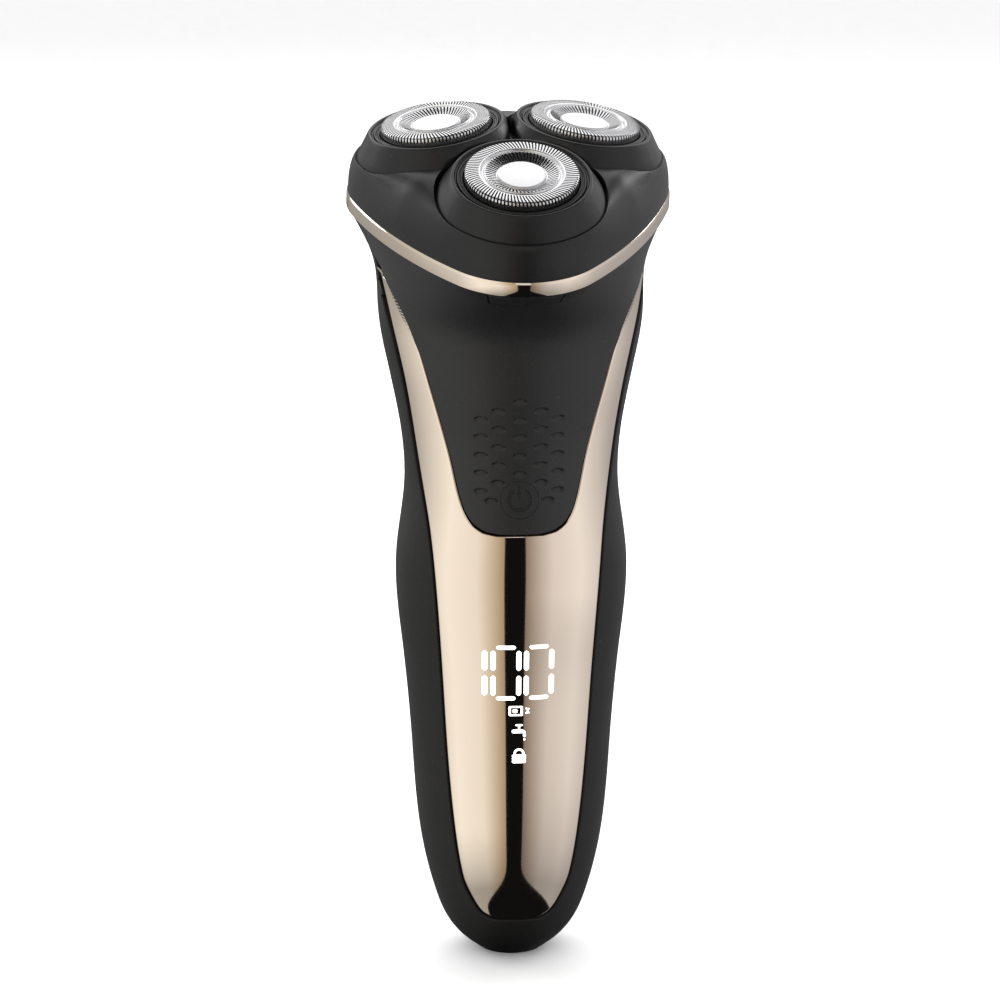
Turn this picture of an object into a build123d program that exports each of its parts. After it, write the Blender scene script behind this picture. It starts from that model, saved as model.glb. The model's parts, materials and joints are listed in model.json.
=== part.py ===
"""Rotary electric shaver with three floating shaving units.

Millimetres, +Z up the handle, front of the handle towards -Y, origin at the middle of
the flat foot that the handle stands on.
"""

from build123d import *
from math import cos, pi, radians, sin, sqrt, tan
import os

os.makedirs("parts", exist_ok=True)

# ---------------------------------------------------------------- driving dimensions
# Handle
handle_length = 149.6        # foot to the middle of the neck's sloping top
grip_width = 45.7            # widest place of the grip
grip_depth = 38.8            # front to back at the same place
shell_wall = 1.8
seam_gap = 0.15              # parting gap between neighbouring covers
neck_band = 6.0              # height of the closed black band under the head

# Head
head_lean = 16.0             # the head plane leans this far towards the front
head_height = 17.6           # underside of the trim ring to the plane of the foils
head_shift = -1.15           # the neck's top sits this far forward of the handle's axis
split_gap = 0.15             # between the neck and the head that opens
ring_height = 2.9
ring_wall = 1.2
ring_corner = 17.2           # corner radius of the trim ring
ring_taper = 0.4
ring_chamfer = 0.4
head_wall = 1.4
shoulder_height = 5.0        # the deck rises this far above the trim ring
shoulder_taper = 2.1
fit_gap = 0.15

# Shaving units
unit_circle = 16.8           # the three units' centres lie on this radius
unit_lean = 9.0              # each unit leans outward
flank_turn = 12.0            # half the turn of the flat flanks between the corners
pod_base_radius = 16.1
pod_rim_radius = 13.1
pod_base_depth = 6.2         # below the foil plane, along the unit's axis
pod_rim_depth = 1.2
pod_wall = 1.3
pod_skirt = 0.4              # wall of the tube that guides the pod through the deck
pod_skirt_gap = 0.5
pod_skirt_depth = 8.6
seat_thickness = 1.6
seat_step = 0.2              # the seat is this much smaller than the pod
pod_valley_gap = 1.2         # between neighbouring pods
pod_seat_gap = 0.9           # under the pod, room to tilt
foil_radius = 10.75
foil_thickness = 0.35
foil_skirt = 3.0
foil_running_gap = 0.25      # foil to pod
foil_cap_radius = 4.5
foil_cap_recess = 0.9
outer_slots = 45
inner_slots = 30
slot_width = 0.28
slot_overrun = 0.4           # the outer slots run this far past the foil's rim
groove_inner = 7.0           # groove between the foil's two slotted rings
groove_outer = 8.0
groove_depth = 0.55
inner_ring_drop = 0.15       # the inner ring's crest below the outer ring
foil_round = 0.7             # the foil's rim turns down over this
bezel_width = 1.1
bezel_height = 0.9
bezel_chamfer = 0.25
bezel_gap = 0.05
shelf_drop = 1.2             # the bezel's shelf below the pod's rim
rim_round = 0.5
rim_edge = 0.6
cap_margin = 0.3
cap_height = 0.35
cap_chamfer = 0.15
cutter_gap = 0.1             # blades under the foil
cutter_blades = 15
cutter_hub_radius = 3.4
cutter_rim_gap = 0.3
disc_depth = 3.4             # underside of the cutter's disc below the foil plane
disc_thickness = 0.8
hub_top = 1.5                # top of the hub below the foil plane
blade_circle = 9.1
blade_length = 1.7
blade_width = 0.5
blade_turn = 25
vent_count = 5
vent_radius = 1.6
vent_circle = 6.3
cutter_depth = 5.6           # underside of the cutter's hub below the foil plane
socket_depth = 2.4
socket_length = 4.4
socket_width = 2.2
tip_gap = 0.55               # drive tip to the socket's sides
tip_reach = 1.0              # drive tip inside the socket

frame_depth = 5.0            # top of the retaining frame's cups, along each unit's axis
frame_thickness = 1.1
frame_gap = 0.2
frame_join = 0.5             # the frame's plate runs this far into the cups' walls
frame_drop = 0.9             # the frame's plate below the deck's middle boss
cup_room = 3.6               # cup wider than the cutter's hub
cup_wall = 1.0
cup_foot = 0.5               # the cups reach this far below the plate
knob_radius = 5.0
knob_height = 2.2
knob_grip = 1.6
knob_round = 0.5
stem_radius = 2.0
stem_end_gap = 0.4
boss_radius = 3.6
boss_depth = 8.6             # underside of the deck's middle boss, below the foil plane
boss_height = 3.6
boss_roof = 1.0

# Drive
spindle_circle = 15.5
spindle_radius = 1.6
spindle_collar = 0.9
tip_length = 3.0
pinion_teeth = 12
gear_teeth = 24
gear_height = 2.4
gear_backlash = 0.16
gear_running_gap = 0.4
tooth_root = 1.15            # in modules, below the pitch circle
tooth_tip = 0.9
tooth_taper = 0.4
post_radius = 1.2
post_clearance = 0.05
post_foot_radius = 4.0
post_end_gap = 0.6
gear_plate_thickness = 1.4
floor_thickness = 1.4
seal_lift = 0.2
seal_gap = 0.1
floor_depth = 1.0            # the hair chamber's floor lies this far below the neck's top
motor_radius = 9.0
motor_flats = 14.0
motor_length = 24.0
motor_shaft_radius = 1.0
motor_rim = 3.0              # the gear plate is this much wider than the motor
motor_boss = 1.0
shaft_clearance = 0.6

# Hinge and release
hinge_radius = 1.8
hinge_pin_radius = 0.8
hinge_pin_clearance = 0.05
hinge_knuckle = 6.0          # width of the head's knuckle
hinge_lug = 3.0              # width of each of the neck's knuckles
hinge_side_gap = 0.2
hinge_room = 1.2             # cut clear round the neck's knuckles
hinge_web = 0.1
hinge_rise = 2.1             # hinge axis above the neck's top
button_width = 15.0
button_height = 3.0
button_drop = 0.7            # top of the button below the neck's top
button_gap = 0.15
button_travel = 1.0
release_room = 7.0           # notch in the hair chamber's floor behind the release button
catch_width = 7.0
catch_thickness = 1.2
catch_length = 3.0
catch_setback = 2.7          # the catch stands this far inside the skirt, clear of the button

# Grip, key, display
key_radius = 3.6
key_gap = 0.1
key_travel = 0.4
key_rise = 6.9               # middle of the key above the foot of the thumb tongue
key_stem_radius = 1.4
digit_height = 11.0
digit_width = 6.4
digit_stroke = 1.1
digit_pitch = 7.0
digit_left = 2.1             # the first nought stands this far left of the middle
one_left = 6.6
display_drop = 27.7          # middle of the digits below the foot of the thumb tongue
display_depth = 5.0
display_width = 17.0
display_length = 30.0
sign_drops = (8.0, 12.4, 17.0)
sign_width = 2.8
sign_height = 2.6
guide_length = 3.6
switch_width = 5.2
switch_body = 2.6
switch_plunger = 3.0
plunger_radius = 1.6
key_free_play = 0.45         # key stem to the switch's plunger, more than the key's travel

# Inside the handle
battery_radius = 7.0
battery_length = 48.5
battery_height = 21.0
battery_back = 4.9           # axis of the cell behind the handle's axis
battery_cap = 1.0
battery_round = 0.5
tab_width = 5.0
tab_thickness = 0.3
board_thickness = 1.2
board_width = 19.0
board_height = 24.0
board_over = 5.7             # the board ends this far above the key
chip_height = 0.9
chip_rows = ((-5, 8, 4, 4), (4, 10, 5, 3), (-4, 58, 3, 5), (5, 60, 2, 3))
chassis_thickness = 1.6
chassis_width = 23.0
chassis_height = 12.0
chassis_over = 8.0           # the chassis ends this far above the board
cradle_wall = 2.0
cradle_width = 3.0
cradle_inset = 8.0
chassis_gap = 0.2
screw_radius = 1.0
screw_head_radius = 1.9
screw_head_height = 1.1
screw_reach = 2.0            # behind the chassis
screw_slot = (2.4, 0.5, 0.6)
screw_inset = 4.5
socket_opening_width = 9.0
socket_opening_depth = 3.3
socket_shell = 0.35
inlet_recess = 0.8
inlet_length = 7.3
contact_inset = 2.3
contact_thickness = 0.7

# ---------------------------------------------------------------- derived frame
neck_top = Plane(
    origin=(0, head_shift, handle_length),
    x_dir=(1, 0, 0),
    z_dir=(0, -sin(radians(head_lean)), cos(radians(head_lean))),
)
ring_base = neck_top.offset(split_gap)
foil_plane = ring_base.offset(head_height)
ring_top_depth = head_height - ring_height
deck_depth = ring_top_depth - shoulder_height
half_gap = seam_gap / 2


def unit_plane(index):
    """Plane of one shaving unit: its x axis points outward, its z axis is the unit's axis."""
    turn = radians(-90 + 120 * index)
    outward = foil_plane.x_dir * cos(turn) + foil_plane.y_dir * sin(turn)
    lean = radians(unit_lean)
    return Plane(
        origin=foil_plane.origin + outward * unit_circle,
        x_dir=outward * cos(lean) - foil_plane.z_dir * sin(lean),
        z_dir=foil_plane.z_dir * cos(lean) + outward * sin(lean),
    )


def spindle_plane(index, depth):
    """Plane across one drive spindle, at a depth below the foil plane."""
    turn = radians(-90 + 120 * index)
    outward = foil_plane.x_dir * cos(turn) + foil_plane.y_dir * sin(turn)
    return Plane(
        origin=foil_plane.origin + outward * spindle_circle - foil_plane.z_dir * depth,
        x_dir=outward,
        z_dir=foil_plane.z_dir,
    )


def upright(plane):
    """Plane through a plane's axis, with its local y along that axis, for turned profiles."""
    return Plane(origin=plane.origin, x_dir=plane.x_dir, z_dir=-plane.y_dir)


def axis_of(plane):
    """The axis through a plane's origin, along its normal."""
    return Axis(plane.origin, plane.z_dir)


def save(builder, label):
    """Name a finished piece and write it."""
    builder.part.label = label
    export_step(builder.part, f"parts/{label}.step")


# ---------------------------------------------------------------- outlines
def triangle_points(corner_radius):
    """Points of the head's rounded triangle, six to each third, from the front corner on.

    A corner is an arc about a unit's centre. A flank is a wide arc tangent to both corners.
    """
    junction = radians(60 - flank_turn)
    setback = unit_circle * tan(junction) / (sqrt(3) / 2 - tan(junction) / 2)
    flank_radius = corner_radius + sqrt(3) / 2 * setback / sin(junction)
    flank_reach = flank_radius - setback
    points = []
    for third in range(3):
        start = radians(-90 + 120 * third)
        for turn in (0, junction / 2, junction, radians(60), radians(120) - junction,
                     radians(120) - junction / 2):
            if turn == radians(60):
                x, y = flank_reach * cos(turn), flank_reach * sin(turn)
            elif turn < radians(60):
                x, y = unit_circle + corner_radius * cos(turn), corner_radius * sin(turn)
            else:
                x = unit_circle * cos(radians(120)) + corner_radius * cos(turn)
                y = unit_circle * sin(radians(120)) + corner_radius * sin(turn)
            points.append((x * cos(start) - y * sin(start), x * sin(start) + y * cos(start)))
    return points


def triangle_face(corner_radius):
    """Fill the head's rounded triangle with six tangent arcs, in the sketch being built."""
    points = triangle_points(corner_radius)
    with BuildLine() as outline:
        for third in range(3):
            start = 6 * third
            ThreePointArc(points[start - 2], points[start], points[start + 2])
            ThreePointArc(points[start + 2], points[start + 3], points[(start + 4) % 18])
    make_face(outline.edges())


# Stations up the handle: height, half width, half depth (as shares of the handle's length
# and of the grip's half width and half depth), forward or back shift in mm, share of the
# head's lean, share of the head's rounded triangle.
handle_stations = (
    (0.000, 0.285, 0.31, 0.0, 0.0, 0.0),
    (0.016, 0.42, 0.45, 0.0, 0.0, 0.0),
    (0.038, 0.547, 0.58, 0.0, 0.0, 0.0),
    (0.080, 0.67, 0.71, 0.0, 0.0, 0.0),
    (0.147, 0.78, 0.815, 0.0, 0.0, 0.0),
    (0.300, 0.877, 0.907, 0.0, 0.0, 0.0),
    (0.430, 0.95, 0.96, 0.0, 0.0, 0.0),
    (0.562, 1.000, 1.000, -0.3, 0.0, 0.0),
    (0.655, 0.926, 0.96, 0.0, 0.0, 0.0),
    (0.735, 0.958, 0.98, 0.5, 0.0, 0.0),
    (0.815, 1.06, 1.046, 0.8, 0.0, 0.0),
    (0.895, 1.11, 1.03, 0.3, 0.3, 0.15),
    (0.950, 1.055, 1.216, -0.3, 0.62, 0.45),
    (1.000, 1.055, 1.216, head_shift, 1.0, 1.0),
)
neck_corner = ring_corner - ring_taper - fit_gap


def handle_section(half_width, half_depth, share, corner_radius):
    """Fill one section: an ellipse that turns into the head's rounded triangle."""
    points = []
    for x, y in triangle_points(corner_radius):
        reach = sqrt(x * x + y * y)
        points.append((
            share * x + (1 - share) * half_width * x / reach,
            share * y + (1 - share) * half_depth * y / reach,
        ))
    seam = len(points) // 2
    with BuildLine() as outline:
        Spline(*points[seam:], *points[:seam], periodic=True)
    make_face(outline.edges())


def handle_body(inset, over=0.0):
    """Loft the handle, smaller by inset all round, and higher than the neck's top by over."""
    with BuildPart() as body:
        for height, width, depth, shift, lean, share in handle_stations:
            raised = inset + height * (handle_length - inset)
            tilt = radians(head_lean * lean)
            plane = Plane((0, shift, raised), x_dir=(1, 0, 0), z_dir=(0, -sin(tilt), cos(tilt)))
            with BuildSketch(plane):
                handle_section(
                    width * grip_width / 2 - inset,
                    depth * grip_depth / 2 - inset,
                    share,
                    neck_corner - inset,
                )
        loft()
        if over:
            with BuildSketch(neck_top):
                handle_section(0, 0, 1, neck_corner - inset)
            extrude(amount=over)
    return body.part


def front_prism(shares, grow):
    """Prism towards the front, from half an outline given as shares of width and height."""
    half = [(x * grip_width / 2 + grow, z * handle_length - grow) for x, z in shares]
    with BuildPart() as prism:
        with BuildSketch(Plane.XZ):
            with BuildLine():
                Line((0, half[0][1]), half[0])
                Spline(*half)
                Line(half[-1], (0, half[-1][1]))
                mirror(about=Plane.YZ)
            make_face()
        extrude(amount=2 * grip_depth)
    return prism.part


panel_outline = (
    (0.19, 0.067), (0.30, 0.076), (0.385, 0.095), (0.475, 0.128), (0.555, 0.207),
    (0.609, 0.30), (0.66, 0.43), (0.70, 0.52), (0.745, 0.60), (0.82, 0.68),
    (0.93, 0.79), (1.06, 0.883), (1.19, 0.975),
)
tongue_outline = (
    (0.18, 0.611), (0.30, 0.615), (0.41, 0.628), (0.48, 0.65), (0.58, 0.716),
    (0.73, 0.80), (0.865, 0.87), (1.02, 0.92), (1.24, 0.965),
)

tongue_foot = tongue_outline[0][1] * handle_length
key_height = tongue_foot + key_rise
display_height = tongue_foot - display_drop
board_length = key_height + board_over - board_height
chassis_length = board_height + board_length + chassis_over - chassis_height

outer_body = handle_body(0.0)
inner_body = handle_body(shell_wall, over=2.0)
panel_prism = front_prism(panel_outline, -half_gap)
panel_cut = front_prism(panel_outline, half_gap)
tongue_prism = front_prism(tongue_outline, -half_gap)
tongue_cut = front_prism(tongue_outline, half_gap)
band_plane = neck_top.offset(-neck_band)

# ---------------------------------------------------------------- handle covers
with BuildPart() as rear_shell:
    add(outer_body)
    add(inner_body, mode=Mode.SUBTRACT)
    add(panel_cut, mode=Mode.SUBTRACT)
    split(bisect_by=band_plane.offset(-half_gap), keep=Keep.BOTTOM)
    with BuildSketch(Plane.XY):
        Rectangle(socket_opening_width + 2 * socket_shell + 2 * fit_gap,
                  socket_opening_depth + 2 * socket_shell + 2 * fit_gap)
        fillet(vertices(), socket_opening_depth / 2)
    extrude(amount=3 * shell_wall, mode=Mode.SUBTRACT)
save(rear_shell, "rear_shell")

with BuildPart() as front_panel:
    add(outer_body)
    add(panel_prism, mode=Mode.INTERSECT)
    add(inner_body, mode=Mode.SUBTRACT)
    add(tongue_cut, mode=Mode.SUBTRACT)
    split(bisect_by=band_plane.offset(-half_gap), keep=Keep.BOTTOM)
save(front_panel, "front_panel")

with BuildPart() as tongue:
    add(outer_body)
    add(tongue_prism, mode=Mode.INTERSECT)
    split(bisect_by=band_plane, keep=Keep.BOTTOM)


# The neck's top end as planes: button and chamber floor are placed from them.
floor_top = neck_top.offset(-floor_depth)
floor_base = floor_top.offset(-floor_thickness)
gear_top_depth = head_height + floor_depth + floor_thickness + gear_running_gap + split_gap
gear_base_depth = gear_top_depth + gear_height
plate_top_depth = gear_base_depth + gear_running_gap
plate_base_depth = plate_top_depth + gear_plate_thickness
hinge_reach = triangle_points(ring_corner)[9][1]
hinge_plane = neck_top.offset(hinge_rise)
hinge_origin = hinge_plane.from_local_coords((0, hinge_reach, 0))
hinge_side = Plane(origin=hinge_origin, x_dir=neck_top.y_dir, z_dir=(1, 0, 0))
knuckle_side = hinge_knuckle / 2 + hinge_side_gap
button_plane = neck_top.offset(-button_drop)
board_front = battery_back - battery_radius - chassis_thickness - 2 * chassis_gap
plunger_reach = -board_front + board_thickness + switch_body + switch_plunger
key_plane = Plane((0, 0, key_height), x_dir=(1, 0, 0), z_dir=(0, -1, 0))


def button_block(grow):
    """Block in front of the neck that outlines the release button."""
    with BuildPart() as block:
        with BuildSketch(button_plane.offset(grow)):
            with Locations((0, -ring_corner - unit_circle)):
                Rectangle(button_width + 2 * grow, ring_corner)
        extrude(amount=-button_height - 2 * grow)
    return block.part


def knuckle(start, width):
    """One hinge knuckle, standing from start along the hinge's axis, with its root web."""
    with BuildPart() as part:
        with BuildSketch(hinge_side.offset(start)):
            Circle(hinge_radius)
        extrude(amount=width)
    return part.part


with BuildPart() as neck_shell:
    add(outer_body)
    split(bisect_by=band_plane, keep=Keep.TOP)
    add(tongue)
    add(inner_body, mode=Mode.SUBTRACT)
    add(button_block(button_gap), mode=Mode.SUBTRACT)
    with BuildSketch(key_plane):
        Circle(key_radius + key_gap)
    extrude(amount=grip_depth, mode=Mode.SUBTRACT)
    for side in (-knuckle_side - hinge_lug, knuckle_side):
        add(knuckle(side, hinge_lug))
        with BuildSketch(hinge_side.offset(side)):
            with Locations((-hinge_radius / 2 - hinge_web, -hinge_radius)):
                Rectangle(hinge_radius + 2 * hinge_web, 2 * hinge_radius)
        extrude(amount=hinge_lug)
    with BuildSketch(hinge_side.offset(-knuckle_side - hinge_lug)):
        Circle(hinge_pin_radius)
    extrude(amount=2 * (knuckle_side + hinge_lug), mode=Mode.SUBTRACT)
save(neck_shell, "neck_shell")

with BuildPart() as release_button:
    add(outer_body)
    add(inner_body, mode=Mode.SUBTRACT)
    add(button_block(0), mode=Mode.INTERSECT)
save(release_button, "release_button")

with BuildPart() as power_key:
    with BuildSketch(key_plane):
        Circle(key_radius)
    extrude(amount=grip_depth)
    add(outer_body, mode=Mode.INTERSECT)
    add(inner_body, mode=Mode.SUBTRACT)
    with BuildSketch(key_plane.offset(plunger_reach + key_free_play)):
        Circle(key_stem_radius)
    extrude(amount=grip_depth / 2 - shell_wall / 2 - plunger_reach - key_free_play)
save(power_key, "power_key")

with BuildPart() as hinge_pin:
    with BuildSketch(hinge_side.offset(-knuckle_side - hinge_lug)):
        Circle(hinge_pin_radius)
    extrude(amount=2 * (knuckle_side + hinge_lug))
save(hinge_pin, "hinge_pin")

# ---------------------------------------------------------------- inside the handle
board_plane = Plane((0, board_front, board_height), x_dir=(1, 0, 0), z_dir=(0, -1, 0))
board_face = board_plane.offset(board_thickness)
chassis_plane = Plane(
    (0, battery_back - battery_radius - chassis_gap, chassis_height),
    x_dir=(1, 0, 0), z_dir=(0, -1, 0),
)

with BuildPart() as battery:
    with BuildSketch(Plane((0, battery_back, battery_height))):
        Circle(battery_radius)
    extrude(amount=battery_length)
    with BuildSketch(Plane((0, battery_back, battery_height + battery_length))):
        Circle(battery_radius / 3)
    extrude(amount=battery_cap)
    fillet(battery.edges().filter_by(GeomType.CIRCLE).group_by(SortBy.RADIUS)[-1], battery_round)
save(battery, "battery")

with BuildPart() as battery_tabs:
    for height in (battery_height - tab_thickness, battery_height + battery_length + battery_cap):
        with BuildSketch(Plane((0, battery_back, height))):
            with Locations((0, -battery_radius / 2)):
                Rectangle(tab_width, battery_radius)
        extrude(amount=tab_thickness)
save(battery_tabs, "battery_tabs")

with BuildPart() as chassis:
    with BuildSketch(chassis_plane):
        with Locations((0, chassis_length / 2)):
            RectangleRounded(chassis_width, chassis_length, 3)
        with Locations((0, screw_inset), (0, chassis_length - screw_inset)):
            Circle(screw_radius, mode=Mode.SUBTRACT)
    extrude(amount=chassis_thickness)
    for height in (battery_height + cradle_inset,
                   battery_height + battery_length - cradle_inset - cradle_width):
        with BuildSketch(Plane((0, battery_back, height))):
            Rectangle(2 * (battery_radius + cradle_wall), 2 * (battery_radius + chassis_gap))
            Circle(battery_radius + chassis_gap, mode=Mode.SUBTRACT)
            with Locations((0, battery_radius)):
                Rectangle(4 * battery_radius, battery_radius, mode=Mode.SUBTRACT)
        extrude(amount=cradle_width)
save(chassis, "chassis")

with BuildPart() as chassis_screws:
    for height in (screw_inset, chassis_length - screw_inset):
        seat = chassis_plane.from_local_coords((0, height, chassis_thickness))
        screw_plane = Plane(seat, x_dir=(1, 0, 0), z_dir=(0, -1, 0))
        with BuildSketch(screw_plane):
            Circle(screw_head_radius)
        extrude(amount=screw_head_height)
        with BuildSketch(screw_plane):
            Circle(screw_radius)
        extrude(amount=-chassis_thickness - screw_reach)
        with BuildSketch(screw_plane.offset(screw_head_height)):
            Rectangle(screw_slot[0], screw_slot[1])
            Rectangle(screw_slot[1], screw_slot[0])
        extrude(amount=-screw_slot[2], mode=Mode.SUBTRACT)
save(chassis_screws, "chassis_screws")

with BuildPart() as circuit_board:
    with BuildSketch(board_plane):
        with Locations((0, board_length / 2)):
            RectangleRounded(board_width, board_length, 2)
    extrude(amount=board_thickness)
    with BuildSketch(board_face):
        for across, up, width, height in chip_rows:
            with Locations((across, up)):
                Rectangle(width, height)
    extrude(amount=chip_height)
save(circuit_board, "circuit_board")

display_foot = display_height - board_height
with BuildPart() as display_module:
    with BuildSketch(board_face):
        with Locations((0, display_foot - digit_height / 2)):
            RectangleRounded(display_width, display_length, 1)
    extrude(amount=display_depth)
save(display_module, "display_module")


def segment_marks(width, height, stroke):
    """Seven-segment strokes of a nought, as rectangles about the sketch's location."""
    rise = height / 2 - stroke
    for side in (-1, 1):
        with Locations((side * (width - stroke) / 2, rise / 2 + stroke / 4)):
            Rectangle(stroke, rise)
        with Locations((side * (width - stroke) / 2, -rise / 2 - stroke / 4)):
            Rectangle(stroke, rise)
        with Locations((0, side * (height - stroke) / 2)):
            Rectangle(width - 2.4 * stroke, stroke)


display_face = board_face.offset(display_depth)
with BuildPart() as light_guides:
    with BuildSketch(display_face):
        for digit in (0, 1):
            with Locations((-digit_left + digit * digit_pitch, display_foot)):
                segment_marks(digit_width, digit_height, digit_stroke)
        for half in (-1, 1):
            with Locations((-one_left, display_foot + half * digit_height / 4)):
                Rectangle(digit_stroke, digit_height / 2 - digit_stroke)
        for drop in sign_drops:
            with Locations((0, display_foot - drop)):
                Rectangle(sign_width, sign_height)
    extrude(amount=guide_length)
save(light_guides, "light_guides")

with BuildPart() as key_switch:
    with BuildSketch(board_face):
        with Locations((0, key_height - board_height)):
            Rectangle(switch_width, switch_width)
    extrude(amount=switch_body)
    with BuildSketch(board_face.offset(switch_body)):
        with Locations((0, key_height - board_height)):
            Circle(plunger_radius)
    extrude(amount=switch_plunger)
save(key_switch, "key_switch")

with BuildPart() as charging_socket:
    with BuildSketch(Plane.XY.offset(inlet_recess)):
        Rectangle(socket_opening_width + 2 * socket_shell, socket_opening_depth + 2 * socket_shell)
        fillet(vertices(), socket_opening_depth / 2)
    extrude(amount=inlet_length)
    with BuildSketch(Plane.XY.offset(inlet_recess)):
        Rectangle(socket_opening_width, socket_opening_depth)
        fillet(vertices(), socket_opening_depth / 2 - 0.1)
    extrude(amount=inlet_length - 1, mode=Mode.SUBTRACT)
    with BuildSketch(Plane.XY.offset(inlet_recess + 1)):
        Rectangle(socket_opening_width - contact_inset, contact_thickness)
    extrude(amount=inlet_length - 2)
save(charging_socket, "charging_socket")

# ---------------------------------------------------------------- drive
motor_plane = foil_plane.offset(-plate_base_depth)
with BuildPart() as motor:
    with BuildSketch(motor_plane):
        Circle(motor_radius)
        Rectangle(2 * motor_radius, motor_flats, mode=Mode.INTERSECT)
    extrude(amount=-motor_length)
    with BuildSketch(motor_plane.offset(-motor_length)):
        Circle(motor_radius / 3)
    extrude(amount=-motor_boss)
save(motor, "motor")

with BuildPart() as gear_plate:
    with BuildSketch(foil_plane.offset(-plate_base_depth)):
        with PolarLocations(spindle_circle, 3, start_angle=-90):
            Circle(post_foot_radius)
        Circle(motor_radius + motor_rim)
        Circle(motor_shaft_radius + shaft_clearance, mode=Mode.SUBTRACT)
    extrude(amount=gear_plate_thickness)
    with BuildSketch(foil_plane.offset(-plate_top_depth)):
        with PolarLocations(spindle_circle, 3, start_angle=-90):
            Circle(post_radius)
    extrude(amount=gear_running_gap + gear_height - post_end_gap)
save(gear_plate, "gear_plate")

tooth_module = 2 * spindle_circle / (pinion_teeth + gear_teeth)


def gear_face(teeth, turn):
    """Fill one spur gear's outline: straight-flanked teeth, thinned by the backlash."""
    pitch = teeth * tooth_module / 2
    root = pitch - tooth_root * tooth_module
    tip = pitch + tooth_tip * tooth_module
    half = pi * tooth_module / 4 - gear_backlash / 2
    taper = tooth_taper * tooth_module
    Circle(root)
    with PolarLocations(0, teeth, start_angle=turn):
        with BuildLine() as tooth:
            Polyline(
                (root - tooth_module / 2, -half - taper),
                (tip, -half + taper),
                (tip, half - taper),
                (root - tooth_module / 2, half + taper),
                close=True,
            )
        make_face(tooth.edges())


pinion_plane = foil_plane.offset(-gear_base_depth)
with BuildPart() as motor_pinion:
    with BuildSketch(pinion_plane):
        gear_face(pinion_teeth, 90)
    extrude(amount=gear_height)
    with BuildSketch(pinion_plane):
        Circle(motor_shaft_radius)
    extrude(amount=-gear_running_gap - gear_plate_thickness)
save(motor_pinion, "motor_pinion")

spindle_top = cutter_depth * cos(radians(unit_lean)) - tip_reach
for index in range(3):
    gear_plane = spindle_plane(index, gear_base_depth)
    with BuildPart() as drive_gear:
        with BuildSketch(gear_plane):
            gear_face(gear_teeth, 180 + 180 / gear_teeth)
            Circle(post_radius + post_clearance, mode=Mode.SUBTRACT)
        extrude(amount=gear_height)
    save(drive_gear, f"drive_gear_{index + 1}")

    foot_plane = spindle_plane(index, gear_top_depth)
    with BuildPart() as drive_spindle:
        with BuildSketch(foot_plane):
            Circle(spindle_radius + spindle_collar)
        extrude(amount=gear_running_gap / 2)
        with BuildSketch(foot_plane):
            Circle(spindle_radius)
        extrude(amount=gear_top_depth - spindle_top - tip_length)
        with BuildSketch(spindle_plane(index, spindle_top + tip_length)):
            Rectangle(socket_length - 2 * tip_gap, socket_width - 2 * tip_gap)
            Circle(spindle_radius, mode=Mode.INTERSECT)
        extrude(amount=tip_length)
    save(drive_spindle, f"drive_spindle_{index + 1}")

with BuildPart() as chamber_floor:
    with BuildSketch(floor_base):
        Circle(2 * unit_circle + neck_corner)
        with PolarLocations(spindle_circle, 3, start_angle=-90):
            Circle(spindle_radius + spindle_collar + fit_gap, mode=Mode.SUBTRACT)
        with Locations((0, -unit_circle - neck_corner)):
            Rectangle(button_width + 2, 2 * release_room, mode=Mode.SUBTRACT)
    extrude(amount=floor_thickness)
    add(handle_body(shell_wall + fit_gap, over=2.0), mode=Mode.INTERSECT)
save(chamber_floor, "chamber_floor")

with BuildPart() as spindle_seals:
    for index in range(3):
        seal_plane = spindle_plane(index, gear_top_depth - gear_running_gap - seal_lift)
        with BuildSketch(seal_plane):
            Circle(spindle_radius + spindle_collar + fit_gap)
            Circle(spindle_radius + seal_gap, mode=Mode.SUBTRACT)
        extrude(amount=floor_thickness)
save(spindle_seals, "spindle_seals")

# ---------------------------------------------------------------- head
ring_top = foil_plane.offset(-ring_top_depth)
with BuildPart() as trim_ring:
    with BuildSketch(ring_base):
        triangle_face(ring_corner - ring_taper)
    with BuildSketch(ring_top.offset(-ring_chamfer)):
        triangle_face(ring_corner)
    with BuildSketch(ring_top):
        triangle_face(ring_corner - ring_chamfer)
    loft(ruled=True)
    with BuildSketch(ring_base):
        triangle_face(ring_corner - ring_taper - ring_wall)
    extrude(amount=ring_height, mode=Mode.SUBTRACT)
    with BuildSketch(hinge_side.offset(-knuckle_side - hinge_lug - hinge_side_gap)):
        Rectangle(2 * hinge_radius + 2, 4 * hinge_radius)
    extrude(amount=2 * (knuckle_side + hinge_lug + hinge_side_gap), mode=Mode.SUBTRACT)
save(trim_ring, "trim_ring")

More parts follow.
